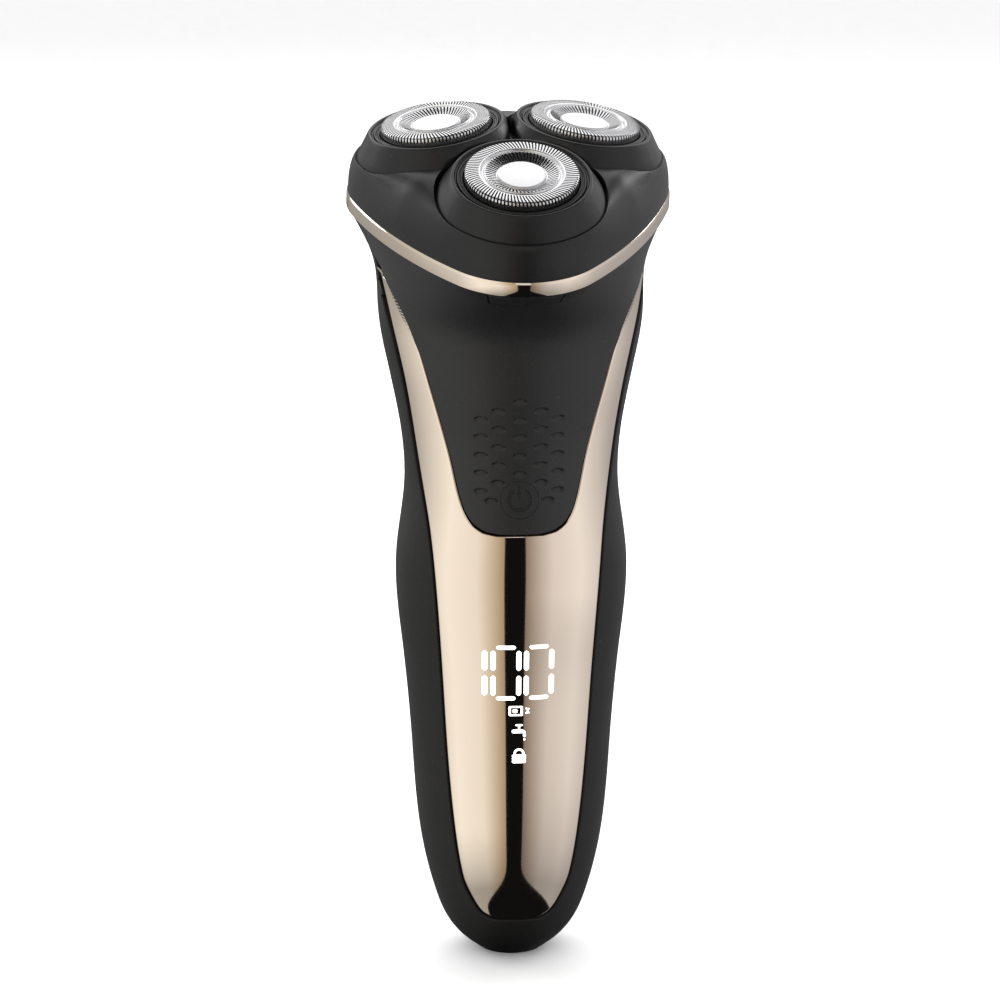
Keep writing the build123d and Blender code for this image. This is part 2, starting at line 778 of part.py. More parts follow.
skirt_corner = ring_corner - ring_taper - ring_wall - fit_gap
knuckle_half = hinge_knuckle / 2
unit_opening = foil_radius + foil_running_gap + pod_skirt + pod_skirt_gap
catch_front = unit_circle + skirt_corner - head_wall
with BuildPart() as head_shell:
    with BuildSketch(ring_base):
        triangle_face(skirt_corner)
    extrude(amount=ring_height + fit_gap)
    with BuildSketch(ring_top.offset(fit_gap)):
        triangle_face(ring_corner - ring_chamfer)
    with BuildSketch(foil_plane.offset(-deck_depth)):
        triangle_face(ring_corner - shoulder_taper)
    loft()
    for index in range(3):
        with BuildSketch(unit_plane(index).offset(-pod_base_depth - pod_seat_gap)):
            Circle(pod_base_radius - seat_step)
        extrude(amount=pod_base_depth - deck_depth)
    with BuildSketch(ring_base):
        triangle_face(skirt_corner - head_wall)
    extrude(amount=ring_top_depth - deck_depth + ring_height - head_wall, mode=Mode.SUBTRACT)
    for index in range(3):
        with BuildSketch(unit_plane(index).offset(-pod_base_depth - pod_seat_gap - seat_thickness)):
            Circle(pod_base_radius - head_wall)
        extrude(amount=-head_height, mode=Mode.SUBTRACT)
    with BuildSketch(foil_plane.offset(-boss_depth)):
        Circle(unit_circle / 2)
    extrude(amount=-head_height, mode=Mode.SUBTRACT)
    with BuildSketch(foil_plane.offset(-boss_depth)):
        Circle(boss_radius)
    extrude(amount=boss_height)
    for index in range(3):
        with BuildSketch(unit_plane(index)):
            Circle(unit_opening)
        extrude(amount=-head_height, mode=Mode.SUBTRACT)
    with BuildSketch(foil_plane.offset(-boss_depth)):
        Circle(stem_radius + fit_gap)
    extrude(amount=boss_height - boss_roof, mode=Mode.SUBTRACT)
    add(knuckle(-knuckle_half, hinge_knuckle))
    with BuildSketch(hinge_side.offset(-knuckle_half)):
        with Locations((-hinge_radius, hinge_radius / 4)):
            Rectangle(2 * hinge_radius, 1.5 * hinge_radius)
    extrude(amount=hinge_knuckle)
    with BuildSketch(hinge_side.offset(-knuckle_half)):
        Circle(hinge_pin_radius + hinge_pin_clearance)
    extrude(amount=hinge_knuckle, mode=Mode.SUBTRACT)
    for side in (-knuckle_side - hinge_lug - hinge_side_gap, knuckle_half):
        with BuildSketch(hinge_side.offset(side)):
            Rectangle(2 * (hinge_radius + hinge_room), 4 * hinge_radius)
        extrude(amount=hinge_lug + 2 * hinge_side_gap, mode=Mode.SUBTRACT)
    with BuildSketch(ring_base.offset(ring_height)):
        with Locations((0, -catch_front + catch_setback / 2)):
            Rectangle(catch_width, catch_setback + 0.2)
    extrude(amount=-ring_height / 2)
    with BuildSketch(ring_base.offset(ring_height)):
        with Locations((0, -catch_front + catch_setback + catch_thickness / 2)):
            Rectangle(catch_width, catch_thickness)
    extrude(amount=-ring_height - catch_length)
save(head_shell, "head_shell")


def sector(index):
    """One third of the head's plan, less half the valley between two pods."""
    far = 4 * unit_circle
    turn = -90 + 120 * index
    near = pod_valley_gap / sqrt(3)
    with BuildPart() as wedge:
        with BuildSketch(foil_plane.offset(-head_height)):
            with BuildLine():
                Polyline(
                    (near * cos(radians(turn)), near * sin(radians(turn))),
                    (far * cos(radians(turn - 60)) + near * cos(radians(turn)),
                     far * sin(radians(turn - 60)) + near * sin(radians(turn))),
                    (2 * far * cos(radians(turn)), 2 * far * sin(radians(turn))),
                    (far * cos(radians(turn + 60)) + near * cos(radians(turn)),
                     far * sin(radians(turn + 60)) + near * sin(radians(turn))),
                    close=True,
                )
            make_face()
        extrude(amount=2 * head_height)
    return wedge.part


bezel_outer = foil_radius + foil_running_gap + bezel_width
pod_shelf = pod_rim_depth + shelf_drop
cap_seat = foil_cap_radius + cap_margin
groove_floor = groove_depth + foil_thickness
for index in range(3):
    unit = unit_plane(index)
    with BuildPart() as pod:
        with BuildSketch(upright(unit)):
            with BuildLine():
                Polyline(
                    (bezel_outer + bezel_gap, -pod_shelf),
                    (bezel_outer + bezel_gap, -pod_rim_depth),
                    (pod_rim_radius, -pod_rim_depth),
                    (pod_base_radius, -pod_base_depth),
                    (pod_base_radius - pod_wall, -pod_base_depth),
                    (pod_rim_radius - rim_edge, -pod_shelf - pod_wall),
                    (foil_radius + foil_running_gap + pod_skirt, -pod_shelf - pod_wall),
                    (foil_radius + foil_running_gap + pod_skirt, -pod_skirt_depth),
                    (foil_radius + foil_running_gap, -pod_skirt_depth),
                    (foil_radius + foil_running_gap, -pod_shelf),
                    close=True,
                )
            make_face()
        revolve(axis=axis_of(unit))
        fillet(pod.edges().filter_by(GeomType.CIRCLE).sort_by(
            lambda edge: abs(edge.radius - pod_rim_radius))[0], rim_round)
        add(sector(index), mode=Mode.INTERSECT)
    save(pod, f"pod_{index + 1}")

    with BuildPart() as bezel:
        with BuildSketch(unit.offset(-pod_shelf)):
            Circle(bezel_outer)
            Circle(foil_radius + foil_running_gap, mode=Mode.SUBTRACT)
        extrude(amount=bezel_height)
        chamfer(bezel.edges().group_by(axis_of(unit))[-1], bezel_chamfer)
    save(bezel, f"bezel_{index + 1}")

    with BuildPart() as foil:
        with BuildSketch(upright(unit)):
            with BuildLine():
                Polyline(
                    (0, -foil_cap_recess),
                    (cap_seat, -foil_cap_recess),
                    (groove_inner, -inner_ring_drop),
                    (groove_inner + foil_thickness, -groove_depth),
                    (groove_outer - foil_thickness / 2, -groove_depth),
                    (groove_outer, 0),
                    (foil_radius - foil_round, 0),
                    (foil_radius, -foil_round),
                    (foil_radius, -foil_skirt),
                    (foil_radius - foil_thickness, -foil_skirt),
                    (foil_radius - foil_thickness, -foil_round - foil_thickness / 3),
                    (foil_radius - foil_round - foil_thickness / 3, -foil_thickness),
                    (groove_outer + foil_thickness, -foil_thickness),
                    (groove_outer + foil_thickness / 3, -groove_floor),
                    (groove_inner, -groove_floor),
                    (groove_inner - foil_thickness / 2, -2 * inner_ring_drop - foil_thickness),
                    (cap_seat, -foil_cap_recess - foil_thickness),
                    (0, -foil_cap_recess - foil_thickness),
                    close=True,
                )
            make_face()
        revolve(axis=axis_of(unit))
        slot_start = groove_outer + foil_thickness
        slot_stop = foil_radius + slot_overrun
        with BuildSketch(unit.offset(-foil_round - 2 * foil_thickness)):
            with PolarLocations((slot_start + slot_stop) / 2, outer_slots):
                Rectangle(slot_stop - slot_start, slot_width)
            with PolarLocations((cap_seat + groove_inner) / 2, inner_slots):
                Rectangle((groove_inner - cap_seat) * 2 / 3, slot_width)
        extrude(amount=2 * foil_round + foil_thickness, mode=Mode.SUBTRACT)
    save(foil, f"foil_{index + 1}")

    with BuildPart() as foil_cap:
        with BuildSketch(unit.offset(-foil_cap_recess)):
            Circle(foil_cap_radius)
        extrude(amount=cap_height)
        chamfer(foil_cap.edges().group_by(axis_of(unit))[-1], cap_chamfer)
    save(foil_cap, f"foil_cap_{index + 1}")

    blade_top = foil_thickness + cutter_gap
    with BuildPart() as cutter:
        with BuildSketch(unit.offset(-disc_depth)):
            Circle(foil_radius - foil_thickness - cutter_rim_gap)
            with PolarLocations(vent_circle, vent_count):
                Circle(vent_radius, mode=Mode.SUBTRACT)
        extrude(amount=disc_thickness)
        with BuildSketch(unit.offset(-disc_depth)):
            with PolarLocations(blade_circle, cutter_blades):
                Rectangle(blade_length, blade_width, rotation=blade_turn)
        extrude(amount=disc_depth - blade_top)
        with BuildSketch(unit.offset(-cutter_depth)):
            Circle(cutter_hub_radius)
        extrude(amount=cutter_depth - hub_top)
        with BuildSketch(unit.offset(-cutter_depth)):
            Rectangle(socket_length, socket_width)
        extrude(amount=socket_depth, mode=Mode.SUBTRACT)
    save(cutter, f"cutter_{index + 1}")

cup_radius = cutter_hub_radius + cup_room
frame_top_depth = boss_depth + frame_gap + frame_drop
cup_end_depth = frame_top_depth + frame_thickness + cup_foot
plate_radius = (unit_circle - frame_top_depth * tan(radians(unit_lean))
                - cup_radius + frame_join)
knob_depth = frame_top_depth + frame_thickness + frame_gap
with BuildPart() as retainer_frame:
    with BuildSketch(foil_plane.offset(-frame_top_depth)):
        Circle(plate_radius)
        Circle(stem_radius + fit_gap, mode=Mode.SUBTRACT)
    extrude(amount=-frame_thickness)
    for index in range(3):
        unit = unit_plane(index)
        with BuildSketch(upright(unit)):
            with BuildLine():
                Polyline(
                    (cutter_hub_radius + cup_wall, -frame_depth),
                    (cup_radius, -frame_depth),
                    (cup_radius, -cup_end_depth),
                    (cup_radius - cup_wall, -cup_end_depth),
                    (cup_radius - cup_wall, -frame_depth - frame_thickness),
                    (cutter_hub_radius + cup_wall, -frame_depth - frame_thickness),
                    close=True,
                )
            make_face()
        revolve(axis=axis_of(unit))
save(retainer_frame, "retainer_frame")

with BuildPart() as retainer_knob:
    with BuildSketch(foil_plane.offset(-knob_depth)):
        Circle(knob_radius)
    extrude(amount=-knob_height)
    fillet(retainer_knob.edges().group_by(axis_of(foil_plane))[0], knob_round)
    with BuildSketch(foil_plane.offset(-knob_depth - knob_height)):
        Rectangle(1.5 * knob_radius, knob_grip)
    extrude(amount=-knob_grip)
    with BuildSketch(foil_plane.offset(-knob_depth)):
        Circle(stem_radius)
    extrude(amount=knob_depth - boss_depth + boss_height - boss_roof - stem_end_gap)
save(retainer_knob, "retainer_knob")
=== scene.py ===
"""Looks of a rotary electric shaver with three floating units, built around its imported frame.

Lengths inside the classes are millimetres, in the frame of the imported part: +Z up the handle,
the front towards -Y, the origin in the middle of the foot. Meshes are written in metres.
"""

import json
import logging
from dataclasses import dataclass, field
from enum import Enum

import bpy
import numpy as np
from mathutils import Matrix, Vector


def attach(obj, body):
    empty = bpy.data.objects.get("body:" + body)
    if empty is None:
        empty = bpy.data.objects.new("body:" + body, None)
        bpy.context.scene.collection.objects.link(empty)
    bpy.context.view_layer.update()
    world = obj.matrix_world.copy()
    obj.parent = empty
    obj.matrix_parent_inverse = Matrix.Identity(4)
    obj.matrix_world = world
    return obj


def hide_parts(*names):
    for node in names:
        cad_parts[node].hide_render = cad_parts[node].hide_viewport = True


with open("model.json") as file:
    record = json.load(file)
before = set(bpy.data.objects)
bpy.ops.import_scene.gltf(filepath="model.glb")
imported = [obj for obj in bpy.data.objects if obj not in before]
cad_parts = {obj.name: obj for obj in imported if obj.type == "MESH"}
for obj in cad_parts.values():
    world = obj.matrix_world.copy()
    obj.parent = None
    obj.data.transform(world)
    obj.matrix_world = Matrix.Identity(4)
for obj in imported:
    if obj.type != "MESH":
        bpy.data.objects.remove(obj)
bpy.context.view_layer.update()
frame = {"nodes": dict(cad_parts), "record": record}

LOG = logging.getLogger("shaver")
MM = 0.001
Array = np.ndarray


# ---------------------------------------------------------------- numbers
def cubic(knots: Array, values: Array, at: Array) -> Array:
    """Natural cubic spline through the knots: the bends at the knots come from one linear system.

    Args:
        knots: rising positions.
        values: the value at each knot.
        at: positions to read.

    Returns:
        The spline's value at each position.
    """
    step, count = np.diff(knots), len(knots)
    system, right = np.eye(count), np.zeros(count)
    inner = np.arange(1, count - 1)
    system[inner, inner - 1], system[inner, inner + 1] = step[:-1], step[1:]
    system[inner, inner] = 2 * (step[:-1] + step[1:])
    slope = np.diff(values) / step
    right[1:-1] = 6 * np.diff(slope)
    bend = np.linalg.solve(system, right)
    cell = np.clip(np.searchsorted(knots, at) - 1, 0, count - 2)
    far, near, wide = knots[cell + 1] - at, at - knots[cell], step[cell]
    return (
        (bend[cell] * far**3 + bend[cell + 1] * near**3) / (6 * wide)
        + (values[cell] / wide - bend[cell] * wide / 6) * far
        + (values[cell + 1] / wide - bend[cell + 1] * wide / 6) * near
    )


def monotone(knots: Array, values: Array, at: Array) -> Array:
    """Hermite curve through the knots whose slopes are harmonic means, so it never overshoots.

    Args:
        knots: rising positions.
        values: the value at each knot.
        at: positions to read.

    Returns:
        The curve's value at each position.
    """
    step = np.diff(knots)
    slope = np.diff(values) / step
    both = slope[:-1] * slope[1:]
    mean = np.where(both > 0, 2 * both / np.where(both > 0, slope[:-1] + slope[1:], 1), 0)
    tangent = np.concatenate(([slope[0]], mean, [slope[-1]]))
    cell = np.clip(np.searchsorted(knots, at) - 1, 0, len(knots) - 2)
    t = np.clip((at - knots[cell]) / step[cell], 0, 1)
    rise = t * t * (3 - 2 * t)
    return (
        (1 - rise) * values[cell]
        + rise * values[cell + 1]
        + step[cell] * (t * (1 - t) ** 2 * tangent[cell] - t * t * (1 - t) * tangent[cell + 1])
    )


def ramp(low: float, high: float, at: Array) -> Array:
    """Smooth step from 0 at low to 1 at high."""
    t = np.clip((at - low) / (high - low), 0, 1)
    return t * t * (3 - 2 * t)


def unit_rows(vectors: Array) -> Array:
    """Scale each row to length one."""
    return vectors / np.maximum(np.linalg.norm(vectors, axis=-1, keepdims=True), 1e-12)


# ---------------------------------------------------------------- meshes
@dataclass
class Sheet:
    """Points and four-sided faces gathered from grids, with a map position for each point."""

    points: list[Array] = field(default_factory=list)
    maps: list[Array] = field(default_factory=list)
    faces: list[Array] = field(default_factory=list)
    marks: list[Array] = field(default_factory=list)
    count: int = 0

    def grid(self, points: Array, round_trip: bool = False, flip: bool = False,
             marks: Array | None = None, scale: tuple[float, float] = (1.0, 1.0),
             keep: Array | None = None) -> None:
        """Add a grid of points; a round trip joins its last column to its first.

        Args:
            points: rows by columns by 3.
            round_trip: whether the columns close on themselves.
            flip: turn the faces over.
            marks: material number of each face, rows - 1 by columns (- 1 if open).
            scale: length of the map along the columns and rows.
            keep: whether each face is kept, or None for all.
        """
        if round_trip:
            points = np.concatenate([points, points[:, :1]], axis=1)
        rows, columns = points.shape[:2]
        index = np.arange(rows * columns).reshape(rows, columns) + self.count
        corners = (index[:-1, :-1], index[:-1, 1:], index[1:, 1:], index[1:, :-1])
        faces = np.stack(corners[::-1] if flip else corners, axis=-1).reshape(-1, 4)
        across, up = np.meshgrid(np.linspace(0, scale[0], columns), np.linspace(0, scale[1], rows))
        chosen = slice(None) if keep is None else keep.ravel()
        self.points.append(points.reshape(-1, 3))
        self.maps.append(np.stack([across, up], axis=-1).reshape(-1, 2))
        kinds = np.zeros(len(faces), int) if marks is None else np.asarray(marks, int).ravel()
        self.faces.append(faces[chosen])
        self.marks.append(kinds[chosen])
        self.count += rows * columns

    def welded(self) -> tuple[Array, Array, Array, Array, Array]:
        """Merge points that coincide and drop faces that vanish.

        Returns:
            Points, faces (a triangle repeats its last point), the map of each face's corners,
            the marks, and for each gathered point its place among the merged ones.
        """
        points, maps = np.concatenate(self.points), np.concatenate(self.maps)
        faces, marks = np.concatenate(self.faces), np.concatenate(self.marks)
        _, first, place = np.unique(np.round(points * 2000), axis=0,
                                    return_index=True, return_inverse=True)
        place = place.ravel()
        corners = place[faces]
        same = corners == np.roll(corners, -1, axis=1)
        turn = np.where(same.any(axis=1), (np.argmax(same, axis=1) + 1) % 4, 0)
        order = (turn[:, None] + np.arange(4)) % 4
        corners = np.take_along_axis(corners, order, axis=1)
        faces = np.take_along_axis(faces, order, axis=1)
        short = same.any(axis=1)
        corners[short, 3] = corners[short, 2]
        distinct = (corners[:, 0] != corners[:, 1]) & (corners[:, 1] != corners[:, 2])
        keep = distinct & (corners[:, 0] != corners[:, 2]) & (same.sum(axis=1) < 2)
        return points[first], corners[keep], maps[faces[keep]], marks[keep], place

    def build(self, name: str, materials: list[bpy.types.Material], sharp: float = 35.0
              ) -> bpy.types.Object:
        """Write the gathered grids to one object at the origin, in metres.

        Args:
            name: the piece's name.
            materials: its materials, in the order of the marks.
            sharp: edges above this angle in degrees stay crisp.

        Returns:
            The new object.
        """
        points, corners, maps, marks, _ = self.welded()
        return write_mesh(name, points, corners, maps, marks, materials, sharp)


def write_mesh(name: str, points: Array, corners: Array, maps: Array, marks: Array,
               materials: list[bpy.types.Material], sharp: float) -> bpy.types.Object:
    """Write points and faces to a new object; a face that repeats its last point is a triangle."""
    mesh = bpy.data.meshes.new(name)
    three = corners[:, 2] == corners[:, 3]
    quads, tris = corners[~three], corners[three][:, :3]
    mesh.from_pydata((points * MM).tolist(), [], quads.tolist() + tris.tolist())
    uv = np.concatenate([maps[~three].reshape(-1, 2), maps[three][:, :3].reshape(-1, 2)])
    mesh.uv_layers.new(name="along").data.foreach_set("uv", uv.ravel())
    mesh.polygons.foreach_set("material_index", np.concatenate([marks[~three], marks[three]]))
    for material in materials:
        mesh.materials.append(material)
    mesh.shade_smooth()
    mesh.set_sharp_from_angle(angle=np.radians(sharp))
    mesh.validate()
    piece = bpy.data.objects.new(name, mesh)
    bpy.context.scene.collection.objects.link(piece)
    return piece


def point_normals(points: Array, corners: Array) -> Array:
    """Normals at the points: the area-weighted mean of the faces' cross products."""
    spread = np.cross(points[corners[:, 2]] - points[corners[:, 0]],
                      points[corners[:, 3]] - points[corners[:, 1]])
    total = np.zeros_like(points)
    for side in range(4):
        np.add.at(total, corners[:, side], spread)
    return unit_rows(total)


def shell(sheet: Sheet, sunk: Array | None, thickness: float, lip: float, name: str,
          materials: list[bpy.types.Material], sharp: float = 40.0) -> bpy.types.Object:
    """Close an open sheet into a thin cover with rolled edges.

    The outer skin is the sheet, less the sunk depth along its normal. Each open edge goes on
    as a quarter circle of the lip's radius, then straight down to the inner skin, which is the
    sheet moved inward by the thickness.

    Args:
        sheet: the grids of the outer face, with the faces pointing out.
        sunk: how far each gathered point is pressed in, or None.
        thickness: wall in mm.
        lip: radius of the rolled edge in mm.
        name: the piece's name.
        materials: its materials.
        sharp: edges above this angle stay crisp.

    Returns:
        The new object.
    """
    base, corners, maps, marks, place = sheet.welded()
    normals = point_normals(base, corners)
    skin = base.copy()
    if sunk is not None:
        depth = np.zeros(len(base))
        depth[place] = sunk
        skin -= normals * depth[:, None]
    count = len(base)
    tails = corners.ravel()
    heads = np.roll(corners, -1, axis=1).ravel()
    real = tails != heads
    tails, heads = tails[real], heads[real]
    open_edge = ~np.isin(tails * count + heads, heads * count + tails)
    tails, heads = tails[open_edge], heads[open_edge]
    after, before = np.zeros(count, int), np.zeros(count, int)
    after[tails], before[heads] = heads, tails
    rim = np.unique(tails)
    along = unit_rows(base[after[rim]] - base[before[rim]])
    outward = unit_rows(np.cross(along, normals[rim]))
    slot = np.zeros(count, int)
    slot[rim] = np.arange(len(rim))
    layers, inner = [skin], base - normals * thickness
    turns = np.linspace(0, np.pi / 2, 5)[1:]
    for turn in turns:
        drop = (1 - np.cos(turn)) * normals[rim]
        layers.append(skin[rim] + lip * (np.sin(turn) * outward - drop))
    layers.append(base[rim] + lip * outward - thickness * normals[rim])
    layers.append(inner)
    points = np.concatenate(layers)
    rings = [rim] + [count + k * len(rim) + np.arange(len(rim)) for k in range(len(turns) + 1)]
    rings.append(count + (len(turns) + 1) * len(rim) + rim)
    strips = [np.stack([low[slot[heads]], low[slot[tails]], high[slot[tails]], high[slot[heads]]],
                       axis=-1) for low, high in zip(rings[:-1], rings[1:])]
    start = count + (len(turns) + 1) * len(rim)
    back = corners[:, [2, 1, 0, 3]].copy()
    back[corners[:, 2] == corners[:, 3], 3] = back[corners[:, 2] == corners[:, 3], 2]
    faces = np.concatenate([corners] + strips + [back + start])
    edge_maps = np.zeros((sum(map(len, strips)), 4, 2))
    all_maps = np.concatenate([maps, edge_maps, maps[:, ::-1]])
    all_marks = np.concatenate([marks, np.zeros(len(faces) - len(marks), int)])
    all_marks[len(faces) - len(corners):] = marks
    return write_mesh(name, points, faces, all_maps, all_marks, materials, sharp)


@dataclass(frozen=True)
class Place:
    """A right-handed set of axes at a point, in mm."""

    origin: Array
    x: Array
    y: Array
    z: Array

    def at(self, x: Array, y: Array, z: Array) -> Array:
        """Points of the part for local coordinates."""
        return (self.origin + x[..., None] * self.x + y[..., None] * self.y + z[..., None] * self.z)

    def turned(self, profile: Array, angles: Array) -> Array:
        """Surface of revolution: each (radius, height) of the profile goes round the z axis.

        Args:
            profile: rows of radius and height.
            angles: angles of the columns.

        Returns:
            A grid of points, one row for each place of the profile.
        """
        radius = profile[:, :1]
        return self.at(radius * np.cos(angles), radius * np.sin(angles),
                       profile[:, 1:] + 0 * angles)


def rounded_profile(corners: list[tuple[float, float]], radii: list[float], steps: int = 4
                    ) -> Array:
    """Replace each inner corner of a path with an arc-like curve of its own radius.

    Each corner becomes a quadratic curve from one radius before it to one radius after it.

    Args:
        corners: the path's corners.
        radii: rounding at each inner corner.
        steps: points in each rounded corner.

    Returns:
        The path's points.
    """
    path = np.array(corners, float)
    inner = path[1:-1]
    reach = np.array(radii, float)[:, None]
    start = inner + reach * unit_rows(path[:-2] - inner)
    stop = inner + reach * unit_rows(path[2:] - inner)
    t = np.linspace(0, 1, steps)[None, :, None]
    bends = (1 - t) ** 2 * start[:, None] + 2 * t * (1 - t) * inner[:, None] + t * t * stop[:, None]
    return np.concatenate([path[:1], bends.reshape(-1, 2), path[-1:]])


# ---------------------------------------------------------------- finishes
class Slot(Enum):
    """Material slots of the record."""

    GRIP = "soft_grip"
    GOLD = "champagne_mirror"
    BLACK = "satin_black"
    HEAD = "head_black"
    FOIL = "foil_steel"
    CAP = "cap_satin"
    CUTTER = "cutter_steel"
    FRAME = "frame_blue_grey"
    INNER = "inner_plastic"
    GEAR = "gear_white"
    BATTERY = "battery_wrap"
    NICKEL = "nickel"
    BOARD = "board_green"
    LIGHT = "display_light"
    SEAL = "seal_rubber"


class Pattern(Enum):
    """What the surface's fine relief follows."""

    MOULDED = "moulded grain"
    BRUSHED = "brush lines along the piece's own map"
    SMOOTH = "polished"


def new_group(name: str, inputs: dict[str, float], outputs: tuple[str, ...]
              ) -> tuple[bpy.types.NodeTree, bpy.types.Node, bpy.types.Node]:
    """Make an empty shader group with a vector and number inputs and number outputs."""
    group = bpy.data.node_groups.new(name, "ShaderNodeTree")
    group.interface.new_socket("Vector", in_out="INPUT", socket_type="NodeSocketVector")
    for label, value in inputs.items():
        socket = group.interface.new_socket(label, in_out="INPUT", socket_type="NodeSocketFloat")
        socket.default_value = value
    for label in outputs:
        group.interface.new_socket(label, in_out="OUTPUT", socket_type="NodeSocketFloat")
    return group, group.nodes.new("NodeGroupInput"), group.nodes.new("NodeGroupOutput")


def add_node(tree: bpy.types.NodeTree, kind: str, values: dict | None = None,
             **settings: str) -> bpy.types.Node:
    """Add a shader node.

    Args:
        tree: where it goes.
        kind: its type without the common prefix.
        values: default of each input, by name or number.
        settings: the node's own settings, such as its operation.

    Returns:
        The new node.
    """
    node = tree.nodes.new("ShaderNode" + kind)
    for name, value in settings.items():
        setattr(node, name, value)
    for key, value in (values or {}).items():
        node.inputs[key].default_value = value
    return node


def add_noise(tree: bpy.types.NodeTree, detail: float, rough: float = 0.55) -> bpy.types.Node:
    """Add a noise texture with a given detail."""
    return add_node(tree, "TexNoise", {"Detail": detail, "Roughness": rough})


def wire(tree: bpy.types.NodeTree, *pairs: tuple[bpy.types.NodeSocket, bpy.types.NodeSocket]
         ) -> None:
    """Link each output to its input."""
    for source, sink in pairs:
        tree.links.new(source, sink)


def grain_group() -> bpy.types.NodeTree:
    """Moulded grain: fine noise plus a little coarser noise give the height."""
    group, source, sink = new_group("moulded_grain", {"Scale": 4000.0}, ("Height",))
    fine, coarse = add_noise(group, 2.0), add_noise(group, 1.0)
    half = add_node(group, "Math", {1: 0.3}, operation="MULTIPLY")
    total = add_node(group, "Math", operation="ADD")
    wire(group, (source.outputs["Vector"], fine.inputs["Vector"]),
         (source.outputs["Vector"], coarse.inputs["Vector"]),
         (source.outputs["Scale"], fine.inputs["Scale"]),
         (source.outputs["Scale"], half.inputs[0]), (half.outputs[0], coarse.inputs["Scale"]),
         (fine.outputs["Fac"], total.inputs[0]), (coarse.outputs["Fac"], total.inputs[1]),
         (total.outputs[0], sink.inputs["Height"]))
    return group


def brush_group() -> bpy.types.NodeTree:
    """Brush lines: noise stretched a hundred times along the map's first direction."""
    group, source, sink = new_group("brush_lines", {"Scale": 6.0}, ("Height",))
    stretch = add_node(group, "Mapping", {"Scale": (0.02, 3.0, 1.0)})
    lines = add_noise(group, 3.0, 0.7)
    wire(group, (source.outputs["Vector"], stretch.inputs["Vector"]),
         (stretch.outputs[0], lines.inputs["Vector"]),
         (source.outputs["Scale"], lines.inputs["Scale"]),
         (lines.outputs["Fac"], sink.inputs["Height"]))
    return group


def wear_group() -> bpy.types.NodeTree:
    """Handling: broad soft patches, and sparse dust specks cut from fine noise."""
    group, source, sink = new_group("handling", {"Scale": 60.0}, ("Patches", "Dust"))
    broad, specks = add_noise(group, 4.0), add_noise(group, 1.0)
    specks.inputs["Scale"].default_value = 2600.0
    cut = add_node(group, "MapRange", {"From Min": 0.74, "From Max": 0.8})
    wire(group, (source.outputs["Vector"], broad.inputs["Vector"]),
         (source.outputs["Vector"], specks.inputs["Vector"]),
         (source.outputs["Scale"], broad.inputs["Scale"]),
         (specks.outputs["Fac"], cut.inputs["Value"]),
         (broad.outputs["Fac"], sink.inputs["Patches"]),
         (cut.outputs["Result"], sink.inputs["Dust"]))
    return group


@dataclass(frozen=True)
class Finish:
    """One surface finish: colour, gloss, relief and handling marks."""

    name: str
    colour: tuple[float, float, float]
    roughness: float
    metallic: float = 0.0
    pattern: Pattern = Pattern.MOULDED
    relief: float = 0.04
    scale: float = 4000.0
    patchy: float = 0.08
    tint: float = 0.12
    dust: float = 0.0
    coat: float = 0.0
    specular: float = 0.5
    glow: float = 0.0

    def build(self, groups: dict[str, bpy.types.NodeTree]) -> bpy.types.Material:
        """Make the material.

        Args:
            groups: the shared effects by name.

        Returns:
            The new material, with its relief, colour and roughness from nodes.
        """
        material = bpy.data.materials.new(self.name)
        material.use_nodes = True
        tree = material.node_tree
        shader = tree.nodes["Principled BSDF"]
        for label, value in (("Metallic", self.metallic), ("Coat Weight", self.coat),
                             ("Specular IOR Level", self.specular)):
            shader.inputs[label].default_value = value
        place, handling = add_node(tree, "TexCoord"), add_node(tree, "Group")
        handling.node_tree = groups["handling"]
        patches = handling.outputs["Patches"]
        gloss = add_node(tree, "MapRange", {"From Min": 0.3, "From Max": 0.7,
                                            "To Min": self.roughness * (1 - self.patchy),
                                            "To Max": self.roughness * (1 + self.patchy)})
        low = tuple(c * (1 - self.tint) for c in self.colour)
        tone = add_node(tree, "Mix", {6: (*low, 1), 7: (*self.colour, 1)}, data_type="RGBA")
        dusty = add_node(tree, "Mix", {7: (0.35, 0.34, 0.33, 1)}, data_type="RGBA")
        faint = add_node(tree, "Math", {1: self.dust}, operation="MULTIPLY")
        wire(tree, (place.outputs["Object"], handling.inputs["Vector"]),
             (patches, gloss.inputs["Value"]), (patches, tone.inputs[0]),
             (gloss.outputs["Result"], shader.inputs["Roughness"]),
             (handling.outputs["Dust"], faint.inputs[0]),
             (faint.outputs[0], dusty.inputs[0]), (tone.outputs[2], dusty.inputs[6]),
             (dusty.outputs[2], shader.inputs["Base Color"]))
        if self.pattern is not Pattern.SMOOTH:
            brushed = self.pattern is Pattern.BRUSHED
            relief = add_node(tree, "Group")
            relief.node_tree = groups["brush_lines" if brushed else "moulded_grain"]
            relief.inputs["Scale"].default_value = self.scale
            bump = add_node(tree, "Bump", {"Strength": self.relief, "Distance": 0.0002})
            wire(tree, (place.outputs["UV" if brushed else "Object"], relief.inputs["Vector"]),
                 (relief.outputs["Height"], bump.inputs["Height"]),
                 (bump.outputs["Normal"], shader.inputs["Normal"]))
        if self.glow:
            shader.inputs["Emission Color"].default_value = (1, 1, 1, 1)
            shader.inputs["Emission Strength"].default_value = self.glow
        return material


